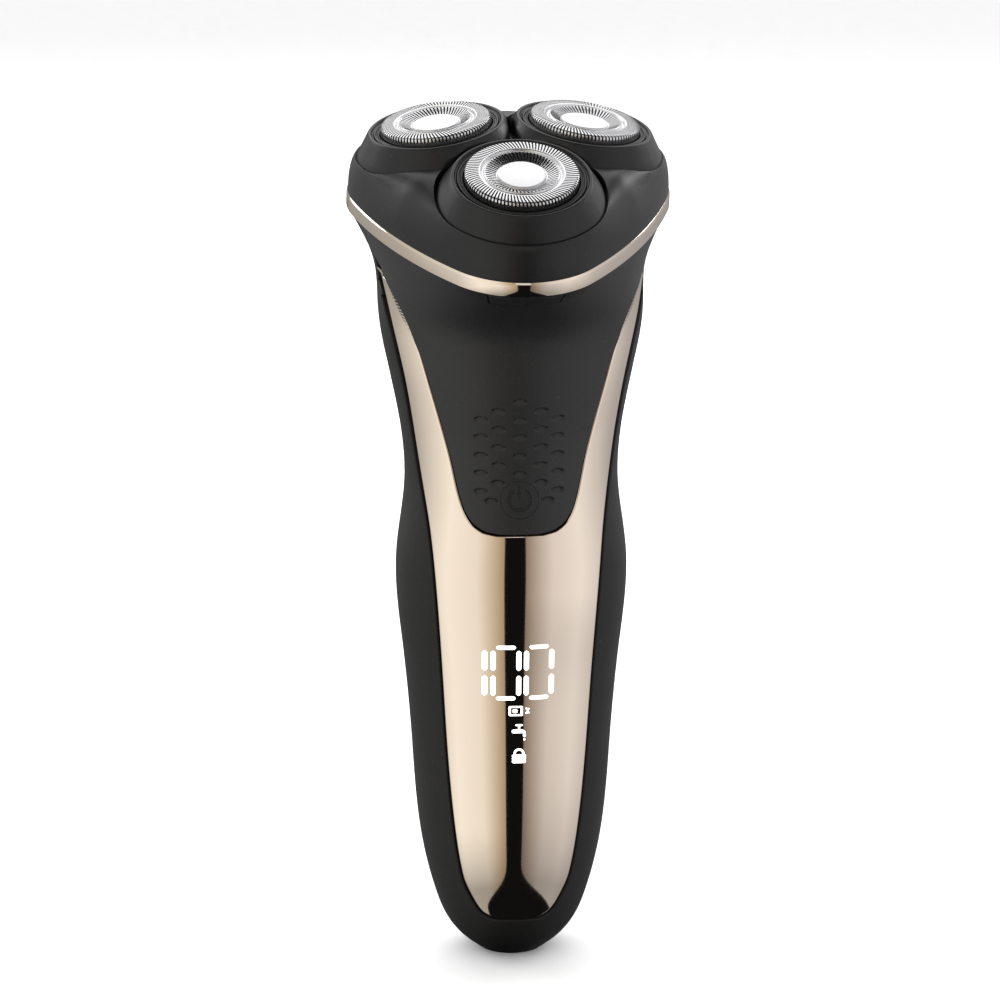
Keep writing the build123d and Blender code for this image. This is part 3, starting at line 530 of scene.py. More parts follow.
FINISHES: dict[Slot, Finish] = {
    Slot.GRIP: Finish("soft_touch_rubber", (0.007, 0.0065, 0.0062), 0.5, relief=0.12,
                      scale=5200.0, patchy=0.1, dust=0.1, specular=0.3),
    Slot.GOLD: Finish("champagne_metallised", (0.86, 0.74, 0.62), 0.055, 1.0, Pattern.SMOOTH,
                      patchy=0.06, tint=0.03),
    Slot.BLACK: Finish("satin_neck_black", (0.012, 0.012, 0.0125), 0.42, relief=0.08, scale=4600.0,
                       dust=0.1, specular=0.42),
    Slot.HEAD: Finish("satin_head_black", (0.007, 0.007, 0.0075), 0.33, relief=0.05, scale=5200.0,
                      dust=0.08, specular=0.33),
    Slot.FOIL: Finish("foil_nickel_steel", (0.74, 0.74, 0.75), 0.24, 1.0, Pattern.BRUSHED,
                      relief=0.12, scale=8.0, patchy=0.15, tint=0.08),
    Slot.CAP: Finish("satin_spun_cap", (0.86, 0.86, 0.87), 0.42, 1.0, Pattern.BRUSHED,
                     relief=0.1, scale=8.0, tint=0.05),
    Slot.CUTTER: Finish("ground_cutter_steel", (0.5, 0.5, 0.51), 0.3, 1.0, relief=0.1,
                        scale=1500.0),
    Slot.FRAME: Finish("retainer_blue_grey", (0.06, 0.075, 0.1), 0.42, relief=0.06),
    Slot.INNER: Finish("inner_moulding", (0.02, 0.02, 0.022), 0.5, relief=0.08, scale=3200.0),
    Slot.GEAR: Finish("gear_acetal", (0.72, 0.7, 0.65), 0.36, relief=0.03, tint=0.05),
    Slot.BATTERY: Finish("shrink_film", (0.015, 0.07, 0.22), 0.22, relief=0.03, scale=500.0,
                         coat=0.3),
    Slot.NICKEL: Finish("plated_nickel", (0.6, 0.58, 0.55), 0.25, 1.0, relief=0.05, scale=2200.0),
    Slot.BOARD: Finish("solder_mask", (0.008, 0.09, 0.035), 0.3, relief=0.05, scale=2600.0,
                       coat=0.2),
    Slot.LIGHT: Finish("display_glow", (0.9, 0.9, 0.9), 0.4, pattern=Pattern.SMOOTH, glow=1.6),
    Slot.SEAL: Finish("seal_rubber", (0.03, 0.03, 0.032), 0.6, relief=0.1, scale=3000.0),
}
# Near black on the slit floors and walls: painted shade for the dark gap into the head under the
# foil.
SLIT_SHADE = Finish("foil_slit_painted_shade", (0.02, 0.02, 0.022), 0.5, 0.6, relief=0.05)


class Paints:
    """Builds each finish once and hands it out by slot."""

    def __init__(self) -> None:
        """Build the shared groups and every material."""
        self.groups = {"moulded_grain": grain_group(), "brush_lines": brush_group(),
                       "handling": wear_group()}
        self.made = {slot: finish.build(self.groups) for slot, finish in FINISHES.items()}
        # The slits' near-black material is painted shade.
        self.slit = SLIT_SHADE.build(self.groups)

    def of(self, slot: Slot) -> bpy.types.Material:
        """The material of a slot."""
        return self.made[slot]

    def dress_node(self, node: str, slot: Slot) -> None:
        """Give a carried-over CAD node its finish in every slot."""
        mesh = frame["nodes"][node].data
        for index in range(max(1, len(mesh.materials))):
            if index < len(mesh.materials):
                mesh.materials[index] = self.made[slot]
            else:
                mesh.materials.append(self.made[slot])
        LOG.info("dressed %s in %s", node, slot.value)


def hand_in(piece: bpy.types.Object, body: str, slot: Slot, *nodes: str) -> None:
    """Fix a piece to its body, hide the CAD nodes it stands for, and report it."""
    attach(piece, body)
    if nodes:
        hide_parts(*nodes)
    LOG.info("%s rides on %s, %d faces", piece.name, body, len(piece.data.polygons))


# ---------------------------------------------------------------- the frame's places
def joint(name: str) -> dict:
    """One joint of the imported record."""
    return next(j for j in frame["record"]["behaviour"]["joints"] if j["name"] == name)


def head_place() -> Place:
    """The plane of the foils: its origin and its leaning axis come from the motor's joint."""
    spin = joint("motor_spin")
    up, across = np.array(spin["axis"], float), np.array([1.0, 0.0, 0.0])
    return Place(np.array(spin["pos_m"]) / MM, across, np.cross(up, across), up)


def unit_place(index: int) -> Place:
    """One shaving unit: its x axis points away from the middle of the head."""
    spin = joint(f"cutter_{index}_spin")
    origin, up = np.array(spin["pos_m"]) / MM, np.array(spin["axis"], float)
    sideways = unit_rows(np.cross(up, origin - head_place().origin))
    return Place(origin, np.cross(sideways, up), sideways, up)


@dataclass(frozen=True)
class Triangle:
    """The head's rounded triangle: corner arcs about the units, joined by wide tangent arcs."""

    circle: float = 16.8
    turn: float = np.radians(48.0)

    def reach(self, angle: Array, corner: float) -> Array:
        """Distance from the middle to the outline.

        Args:
            angle: direction of each point, 0 along +X.
            corner: radius of the corner arcs.

        Returns:
            The outline's radius in each direction.
        """
        setback = self.circle * np.tan(self.turn) / (np.sqrt(3) / 2 - np.tan(self.turn) / 2)
        wide = corner + np.sqrt(3) / 2 * setback / np.sin(self.turn)
        third = np.radians(120)
        off = np.mod(angle + np.pi / 2 + third / 2, third) - third / 2
        change = np.arctan2(corner * np.sin(self.turn), self.circle + corner * np.cos(self.turn))
        tip = self.circle * np.cos(off) + np.sqrt(
            np.maximum(corner**2 - (self.circle * np.sin(off)) ** 2, 0))
        lean = np.abs(off) - third / 2
        flank = -setback * np.cos(lean) + np.sqrt(wide**2 - (setback * np.sin(lean)) ** 2)
        return np.where(np.abs(off) < change, tip, flank)


# Stations up the handle: height, half width and half depth as shares of the handle's, shift in
# mm, share of the lean, share of the head's triangle.
STATIONS = np.array([
    (0.000, 0.285, 0.31, 0.0, 0.0, 0.0), (0.016, 0.42, 0.45, 0.0, 0.0, 0.0),
    (0.038, 0.547, 0.58, 0.0, 0.0, 0.0), (0.080, 0.67, 0.71, 0.0, 0.0, 0.0),
    (0.147, 0.78, 0.815, 0.0, 0.0, 0.0), (0.300, 0.877, 0.907, 0.0, 0.0, 0.0),
    (0.430, 0.95, 0.96, 0.0, 0.0, 0.0), (0.562, 1.000, 1.000, -0.3, 0.0, 0.0),
    (0.655, 0.926, 0.96, 0.0, 0.0, 0.0), (0.735, 0.958, 0.98, 0.5, 0.0, 0.0),
    (0.815, 1.06, 1.046, 0.8, 0.0, 0.0), (0.895, 1.11, 1.03, 0.3, 0.3, 0.15),
    (0.950, 1.055, 1.216, -0.3, 0.62, 0.45), (1.000, 1.055, 1.216, -1.15, 1.0, 1.0),
])
# Outlines on the front, as half width and height in shares: the panel's and the tongue's.
PANEL_EDGE = np.array([
    (0.19, 0.067), (0.30, 0.076), (0.385, 0.095), (0.475, 0.128), (0.555, 0.207),
    (0.609, 0.30), (0.66, 0.43), (0.70, 0.52), (0.745, 0.60), (0.82, 0.68),
    (0.93, 0.79), (1.06, 0.883), (1.19, 0.975),
])
TONGUE_EDGE = np.array([
    (0.18, 0.611), (0.30, 0.615), (0.41, 0.628), (0.48, 0.65), (0.58, 0.716),
    (0.73, 0.80), (0.865, 0.87), (1.02, 0.92), (1.24, 0.965),
])


@dataclass(frozen=True)
class Handle:
    """The handle's outer surface, as a function of an angle round it and a height."""

    length: float = 149.6
    half_width: float = 22.85
    half_depth: float = 19.4
    lean: float = np.radians(16.0)
    corner: float = 16.65
    top_shift: float = -1.15
    triangle: Triangle = Triangle()

    def station(self, share: Array, column: int) -> Array:
        """One column of the stations, smoothly between them."""
        return cubic(STATIONS[:, 0], STATIONS[:, column], np.clip(share, 0, 1.02))

    def reaches(self, angle: Array, share: Array) -> tuple[Array, Array]:
        """Half width and half depth in a direction: the ellipse's blended with the triangle's."""
        mix = np.clip(self.station(share, 5), 0, 1)
        tip = self.triangle.reach(angle, self.corner)
        wide = (1 - mix) * self.station(share, 1) * self.half_width + mix * tip
        deep = (1 - mix) * self.station(share, 2) * self.half_depth + mix * tip
        return wide, deep

    def point(self, angle: Array, share: Array) -> Array:
        """Surface point: the section of that share, tilted by its lean and shifted.

        Args:
            angle: direction round the handle, 0 towards +X and -90 degrees at the front.
            share: place up the handle, 0 at the foot and 1 at the neck's top.

        Returns:
            Points in mm.
        """
        wide, deep = self.reaches(angle, share)
        tilt = self.lean * self.station(share, 4)
        side, back = wide * np.cos(angle), deep * np.sin(angle)
        return np.stack([side, self.station(share, 3) + back * np.cos(tilt),
                         share * self.length + back * np.sin(tilt)], axis=-1)

    def at_height(self, angle: Array, height: Array) -> Array:
        """Surface point in a direction whose z is the height, by stepping the share to it."""
        share = height / self.length + 0 * angle
        for _ in range(14):
            share = share + (height - self.point(angle, share)[..., 2]) / self.length
        return self.point(angle, share)

    def below_top(self, angle: Array, depth: Array) -> Array:
        """Surface point in a direction, at a depth below the plane of the neck's top."""
        share = 1 - depth / self.length + 0 * angle
        for _ in range(14):
            spot = self.point(angle, share)
            rise = (-np.sin(self.lean) * (spot[..., 1] - self.top_shift)
                    + np.cos(self.lean) * (spot[..., 2] - self.length))
            share = share - (rise + depth) / self.length
        return self.point(angle, share)

    def edge(self, outline: Array, grow: float, height: Array) -> Array:
        """Angle on the right-hand front where an outline's half width is met at each height.

        Args:
            outline: rows of half width and height, as shares.
            grow: the outline moved outward and down by this much, in mm.
            height: z of each place.

        Returns:
            Angles from -90 degrees (front) to 0 (side); 0 where the outline leaves the body.
        """
        across = monotone(outline[:, 1] * self.length - grow,
                          outline[:, 0] * self.half_width + grow, height)
        return self.angle_of(across, height)

    def angle_of(self, across: Array, height: Array) -> Array:
        """Angle at the front where the surface's x and z have the given values."""
        share, angle = height / self.length + 0 * across, np.full(np.shape(across), -0.9)
        for _ in range(16):
            wide = self.reaches(angle, share)[0]
            angle = -np.arccos(np.clip(across / wide, -1, 1))
            share = share + (height - self.point(angle, share)[..., 2]) / self.length
        return angle


HANDLE = Handle()
BAND = 6.0  # the neck's closed band, down from its top
BUTTON_SIDE = (7.65, 142.0)  # x and z of the release button's side
BUTTON_TURN = float(HANDLE.angle_of(*np.array(BUTTON_SIDE)[:, None])[0] + np.pi / 2)


def columns(*spans: tuple[Array, Array, int]) -> Array:
    """Join spans of angles, each from one edge to the next with its own number of steps.

    Args:
        spans: (angles at the start, angles at the end, steps), one angle for each row.

    Returns:
        Angles, rows by columns, with shared edges kept once.
    """
    parts = [start[:, None] + (stop - start)[:, None] * np.linspace(0, 1, steps + 1)[None, :]
             for start, stop, steps in spans]
    return np.concatenate([parts[0]] + [part[:, 1:] for part in parts[1:]], axis=1)


# Signs under the digits. Strokes: x and z of both ends, then the width.
STROKES = (
    (-2.05, 54.85, 0.75, 54.85, 0.34), (-2.05, 56.55, 0.75, 56.55, 0.34),  # battery
    (-1.85, 54.8, -1.85, 56.6, 0.45), (0.5, 54.8, 0.5, 56.6, 0.45),
    (-1.35, 55.7, -0.3, 55.7, 0.8), (1.45, 55.3, 2.05, 55.3, 0.26),
    (1.45, 56.1, 2.05, 56.1, 0.26),
    (-0.75, 52.75, 0.75, 52.75, 0.34), (0, 51.7, 0, 52.8, 0.4),  # tap
    (-1.45, 51.45, 0.9, 51.45, 0.75), (1.05, 51.1, 1.05, 50.3, 0.55),
    (1.05, 50.0, 1.05, 49.5, 0.34),
    (-1.4, 45.15, 1.4, 45.15, 0.7), (-1.4, 45.75, 1.4, 45.75, 0.7),  # padlock
    (-1.4, 46.3, 1.4, 46.3, 0.6), (-0.85, 46.3, -0.85, 47.0, 0.42),
    (0.85, 46.3, 0.85, 47.0, 0.42),
)
# Rings: x and z of the middle, radius, width, first and last angle in degrees.
RINGS = ((1.15, 55.7, 0.52, 0.3, -80, 80), (0.55, 51.0, 0.5, 0.55, 0, 90),
         (0, 46.8, 0.85, 0.42, 0, 180))


@dataclass(frozen=True)
class Covers:
    """The handle's three covers, its key, button and display."""

    wall: float = 1.7
    panel_lip: float = 0.32
    rubber_lip: float = 0.3
    neck_lip: float = 0.3
    seam: float = 0.075
    foot_hole: tuple[float, float] = (5.0, 2.15)
    fold: float = 128.0
    key_height: float = 98.3
    key_radius: float = 3.7
    key_pocket: float = 1.2
    button_top: float = 0.7
    button_tall: float = 3.0
    button_wall: float = 0.4
    button_pocket: float = 1.45
    dimple_half: float = 1.3
    dimple_tall: float = 1.25
    dimple_depth: float = 0.5
    mark_lift: float = 0.05
    knuckle_radius: float = 1.8
    knuckle_edge: float = 0.25
    knuckle_root: tuple[float, float] = (-1.2, -3.0)

    def front_panel(self, paints: Paints) -> None:
        """Champagne panel: rows across at each height, split by the tongue into two horns."""
        out, inn = -self.seam - self.panel_lip, self.seam + self.panel_lip
        foot = PANEL_EDGE[0, 1] * HANDLE.length - out
        fork = TONGUE_EDGE[0, 1] * HANDLE.length - inn
        sheet = Sheet()
        low = foot + (fork - foot) * np.linspace(0, 1, 150) ** 1.3
        side = HANDLE.edge(PANEL_EDGE, out, low)
        middle = np.interp(low, [foot, fork], [PANEL_EDGE[0, 0] * HANDLE.half_width + out,
                                               TONGUE_EDGE[0, 0] * HANDLE.half_width + inn])
        inner = HANDLE.angle_of(middle, low)
        turn = columns((-np.pi - side, -np.pi - inner, 30), (-np.pi - inner, inner, 40),
                       (inner, side, 30))
        sheet.grid(HANDLE.at_height(turn, low[:, None]))
        rise = self.tip_height(inn)
        high = fork + (rise - fork) * np.linspace(0, 1, 130) ** 1.6
        near, far = HANDLE.edge(TONGUE_EDGE, inn, high), HANDLE.edge(PANEL_EDGE, out, high)
        far = np.maximum(far, near)
        right = columns((near, far, 30))
        sheet.grid(HANDLE.at_height(right, high[:, None]))
        sheet.grid(HANDLE.at_height(-np.pi - right[:, ::-1], high[:, None]))
        piece = shell(sheet, None, self.wall, self.panel_lip, "front_panel_skin",
                      [paints.of(Slot.GOLD)])
        hand_in(piece, "handle", Slot.GOLD, "front_panel")

    def tip_height(self, grow: float) -> float:
        """Height at which the tongue's outline reaches the handle's side."""
        heights = np.linspace(0.9, 0.965, 400) * HANDLE.length
        return float(heights[np.argmax(HANDLE.edge(TONGUE_EDGE, grow, heights) > -0.02)])

    def rear_shell(self, paints: Paints) -> None:
        """Soft rear cover: the foot's plate, full rings under the panel, then the back only."""
        grow, lip = self.seam + self.rubber_lip, self.rubber_lip
        start = PANEL_EDGE[0, 1] * HANDLE.length - grow
        split = HANDLE.angle_of(np.array([PANEL_EDGE[0, 0] * HANDLE.half_width + grow]),
                                np.array([start]))
        sheet = Sheet()
        low = start * np.linspace(0, 1, 40)
        edge = np.repeat(split, len(low))
        ring = columns((edge, np.pi - edge, 120), (np.pi - edge, 2 * np.pi + edge, 60))
        rings = HANDLE.at_height(ring, low[:, None])
        sheet.grid(rings)
        hole_x, hole_y = self.foot_hole
        turn = ring[0]
        bulge = (np.abs(np.cos(turn) / hole_x) ** 4 + np.abs(np.sin(turn) / hole_y) ** 4) ** -0.25
        hole = np.stack([bulge * np.cos(turn), bulge * np.sin(turn), 0 * turn], axis=-1)
        share = np.linspace(0, 1, 10)[:, None, None]
        sheet.grid(hole * (1 - share) + rings[0] * share)
        tall = start + (self.fold - start) * np.linspace(0, 1, 170) ** 1.25
        side = HANDLE.edge(PANEL_EDGE, grow, tall)
        back = columns((side, np.pi - side, 120))
        sheet.grid(HANDLE.at_height(back, tall[:, None]))
        rise = np.linspace(0, 1, 40)
        depth = BAND + self.seam + lip
        top = HANDLE.below_top(np.array([0.0]), np.array([depth]))[0, 2]
        edge = HANDLE.edge(PANEL_EDGE, grow, self.fold + rise * (top - self.fold))
        crown = columns((edge, np.pi - edge, 120))
        rim = HANDLE.below_top(crown, np.full(crown.shape, depth))[..., 2]
        sheet.grid(HANDLE.at_height(crown, self.fold + rise[:, None] * (rim - self.fold)))
        piece = shell(sheet, None, self.wall, lip, "rear_cover_skin", [paints.of(Slot.GRIP)])
        hand_in(piece, "handle", Slot.GRIP, "rear_shell")

    def dimples(self, spots: Array) -> Array:
        """Depth of the thumb dimples: each is a scoop, deep at its arched top, fading downward.

        Args:
            spots: points of the neck's surface.

        Returns:
            Depth in mm at each point.
        """
        middle = [(0.0, z) for z in (117.7, 114.0, 110.6, 106.9, 103.4)]
        near = [(s * 4.1, z) for s in (-1, 1) for z in (115.8, 112.2, 108.6, 105.1, 101.6)]
        far = [(s * 7.4, z) for s in (-1, 1) for z in (114.1, 110.6, 107.0, 103.5, 99.9)]
        centres = np.array(middle + near + far + [(-5.4, 98.1), (5.4, 98.1)])
        across = spots[..., None, 0] - centres[:, 0]
        up = spots[..., None, 2] - centres[:, 1]
        span = np.clip(across / self.dimple_half, -1, 1) ** 2
        top, tall = 0.5 - 0.45 * span, self.dimple_tall * np.sqrt(1 - span) + 1e-6
        fall = np.clip((up - (top - tall)) / tall, 0, 1)
        scoop = self.dimple_depth * fall * ramp(0.16, 0.0, up - top) * ramp(1.0, 0.8, span)
        return np.where(spots[..., 1] < 0, scoop.max(axis=-1), 0)

    def neck_shell(self, paints: Paints) -> None:
        """Neck cover: a closed band under the head, and the thumb tongue down the front."""
        grow, lip = -self.seam - self.neck_lip, self.neck_lip
        half = BUTTON_TURN
        front = np.concatenate([np.linspace(-np.pi, -np.pi / 2 - half, 71)[:-1],
                                np.linspace(-np.pi / 2 - half, -np.pi / 2 + half, 81)[:-1],
                                np.linspace(-np.pi / 2 + half, 0, 71)])
        back = np.linspace(0, np.pi, 90)[1:]
        sheet, sunk = Sheet(), []
        depths = np.unique(np.round(np.concatenate([
            np.linspace(lip, self.button_top, 4),
            np.array([self.button_top + 0.02, self.button_top + self.button_tall]),
            np.linspace(self.button_top + 0.1, self.button_top + self.button_tall, 14),
            np.linspace(self.button_top + self.button_tall + 0.02, BAND - lip - self.seam, 8)]), 4))
        turn = np.concatenate([front, back])[None, :] + 0 * depths[:, None]
        band = HANDLE.below_top(turn, depths[:, None] + 0 * turn)
        sheet.grid(band[::-1])
        sunk.append(self.notch(turn, depths[:, None] + 0 * turn)[::-1])
        fork = TONGUE_EDGE[0, 1] * HANDLE.length - grow
        low = BAND - lip - self.seam
        rise = np.concatenate([np.linspace(0, 0.12, 50) ** 1.5 / 0.12**0.5,
                               np.linspace(0.12, 0.66, 190)[1:], np.linspace(0.66, 1, 36)[1:]])
        crest = HANDLE.below_top(np.array([0.0]), np.array([low]))[0, 2]
        side = HANDLE.edge(TONGUE_EDGE, grow, fork + rise * (crest - fork))
        side[-1] = 0.0
        share = (front + np.pi / 2) / (np.pi / 2)
        turn = -np.pi / 2 + share[None, :] * (side[:, None] + np.pi / 2)
        top = HANDLE.below_top(turn, np.full(turn.shape, low))[..., 2]
        spots = HANDLE.at_height(turn, fork + rise[:, None] * (top - fork))
        spots[-1] = HANDLE.below_top(front[None, :], np.full((1, len(front)), low))[0]
        off_x, off_z = spots[..., 0], spots[..., 2] - self.key_height
        reach = np.hypot(off_x, off_z)
        snap = np.where(np.abs(reach - self.key_radius) < 0.09, self.key_radius / reach, 1.0)
        moved = HANDLE.at_height(HANDLE.angle_of(off_x * snap, self.key_height + off_z * snap),
                                 self.key_height + off_z * snap)
        spots = np.where((snap != 1)[..., None], moved, spots)
        reach = np.hypot(spots[..., 0], spots[..., 2] - self.key_height)
        sheet.grid(spots)
        sunk.append(self.dimples(spots) + self.key_pocket * (reach < self.key_radius - 0.02))
        depth = np.concatenate([part.ravel() for part in sunk])
        piece = shell(sheet, depth, self.wall, lip, "neck_cover_skin", [paints.of(Slot.BLACK)])
        hand_in(piece, "handle", Slot.BLACK, "neck_shell")

    def knuckles(self, paints: Paints) -> None:
        """The neck's two hinge knuckles, each an oval barrel that runs down into the band."""
        axis = np.array(joint("head_opening")["pos_m"]) / MM
        turn = np.linspace(0, 2 * np.pi, 73)[None, :]
        facing = np.cos(turn - np.arctan2(-self.knuckle_root[1], -self.knuckle_root[0])) > 0
        sheet = Sheet()
        for start, stop in ((-6.2, -3.2), (3.2, 6.2)):
            edge, radius = self.knuckle_edge, self.knuckle_radius
            bend = np.linspace(0, np.pi / 2, 5)
            inset = np.concatenate([[radius], edge * (1 - np.sin(bend)),
                                    edge * (1 - np.sin(bend[::-1])), [radius]])[:, None]
            across = np.concatenate([[start], start + edge * (1 - np.cos(bend)),
                                     stop - edge * (1 - np.cos(bend[::-1])), [stop]])[:, None]
            along = np.where(facing, 0.0, self.knuckle_root[0]) + (radius - inset) * np.cos(turn)
            up = np.where(facing, 0.0, self.knuckle_root[1]) + (radius - inset) * np.sin(turn)
            sheet.grid(axis + np.stack([across + 0 * turn, along, up], axis=-1), flip=True)
        hand_in(sheet.build("neck_knuckles", [paints.of(Slot.BLACK)]),
                "handle", Slot.BLACK)

    def notch(self, turn: Array, depth: Array) -> Array:
        """Depth of the pocket behind the release button."""
        inside = np.abs(turn + np.pi / 2) < BUTTON_TURN - 1e-6
        bottom = self.button_top + self.button_tall
        tall = (depth > self.button_top + 0.001) & (depth < bottom - 0.001)
        return np.where(inside & tall, self.button_pocket, 0.0)

    def release_button(self, paints: Paints) -> None:
        """Release button: the neck's own surface between four edges, a little proud."""
        gap, lip = 0.12, 0.25
        half = BUTTON_TURN - (gap + lip) / 24
        turn = np.linspace(-np.pi / 2 - half, -np.pi / 2 + half, 60)[None, :]
        depth = np.linspace(self.button_top + self.button_tall - gap - lip,
                            self.button_top + gap + lip, 16)[:, None]
        sheet = Sheet()
        sheet.grid(HANDLE.below_top(turn + 0 * depth, depth + 0 * turn))
        piece = shell(sheet, None, self.button_wall, lip, "release_button_skin",
                      [paints.of(Slot.BLACK)])
        hand_in(piece, "release_button", Slot.BLACK, "release_button")

    def power_key(self, paints: Paints) -> None:
        """Round key: discs of the neck's surface, with the on mark pressed in."""
        lip = 0.07
        radius = np.linspace(0, self.key_radius - 0.05 - lip, 60)[:, None]
        turn = np.linspace(0, 2 * np.pi, 145)[None, :]
        across, up = radius * np.cos(turn), self.key_height + radius * np.sin(turn)
        spots = HANDLE.at_height(HANDLE.angle_of(across, up), up)
        ring = ramp(0.32, 0.16, np.abs(radius - 2.0) + 0 * turn)
        gap = ramp(0.75, 0.95, np.abs(across) + 2 * (up < self.key_height))
        rise = up - self.key_height
        bar = ramp(0.3, 0.14, np.abs(across)) * ramp(-0.2, 0.0, rise) * ramp(2.6, 2.4, rise)
        sheet = Sheet()
        sheet.grid(spots, flip=True)
        mark = 0.22 * np.maximum(ring * gap, bar)
        piece = shell(sheet, mark.ravel(), 1.2, lip, "power_key_skin", [paints.of(Slot.BLACK)])
        hand_in(piece, "power_key", Slot.BLACK, "power_key")

    def display(self, paints: Paints) -> None:
        """Lit digits and signs: each stroke is a small patch that follows the panel's surface."""
        sheet = Sheet()
        for left in (-5.64, 0.82):
            for side in (0.52, 5.5):
                for foot in (58.9, 64.1):
                    self.stroke(sheet, (left + side, foot), (left + side, foot + 4.1), 0.98)
            for level in (58.35, 68.9):
                self.stroke(sheet, (left + 1.1, level), (left + 4.9, level), 0.8)
        for foot in (58.9, 64.1):
            self.stroke(sheet, (-6.75, foot), (-6.75, foot + 4.1), 1.05)
        for x, z, to_x, to_z, width in STROKES:
            self.stroke(sheet, (x, z), (to_x, to_z), width)
        for x, z, radius, width, start, stop in RINGS:
            self.ring(sheet, (x, z), radius, width, start, stop)
        hand_in(sheet.build("display_marks", [paints.of(Slot.LIGHT)]),
                "handle", Slot.LIGHT, "light_guides")

    @staticmethod
    def lifted(across: Array, up: Array, lift: float) -> Array:
        """Points of the panel's surface moved out by a small lift."""
        spots = HANDLE.at_height(HANDLE.angle_of(across, up), up)
        outward = np.stack([spots[..., 0] / HANDLE.half_width**2,
                            spots[..., 1] / HANDLE.half_depth**2, 0 * across], axis=-1)
        return spots + lift * unit_rows(outward)

    def stroke(self, sheet: Sheet, start: tuple[float, float], stop: tuple[float, float],
               width: float) -> None:
        """Add one stroke: the width swells from nothing to full over its ends, like a lozenge."""
        begin, end = np.array(start), np.array(stop)
        t = np.linspace(0, 1, 13)
        run = np.linalg.norm(end - begin)
        taper = np.sqrt(np.clip(1 - np.clip(1 - np.minimum(t, 1 - t) * run / (width * 0.45),
                                            0, 1) ** 2, 0, 1))
        along = begin + t[:, None] * (end - begin)
        side = np.array([(end - begin)[1], -(end - begin)[0]]) / run
        spread = np.linspace(-0.5, 0.5, 5)[None, :] * width * np.maximum(taper, 0.25)[:, None]
        across = along[:, :1] + spread * side[0]
        up = along[:, 1:] + spread * side[1]
        sheet.grid(self.lifted(across, up, self.mark_lift))

    def ring(self, sheet: Sheet, centre: tuple[float, float], radius: float, width: float,
             start: float, stop: float) -> None:
        """Add part of a flat ring."""
        turn = np.linspace(np.radians(start), np.radians(stop), 25)[None, :]
        reach = np.linspace(radius - width / 2, radius + width / 2, 3)[:, None]
        sheet.grid(self.lifted(centre[0] + reach * np.cos(turn), centre[1] + reach * np.sin(turn),
                               0.052), flip=True)

    def build(self, paints: Paints) -> None:
        """Make every cover in order."""
        self.front_panel(paints)
        self.rear_shell(paints)
        self.neck_shell(paints)
        self.knuckles(paints)
        self.release_button(paints)
        self.power_key(paints)
        self.display(paints)


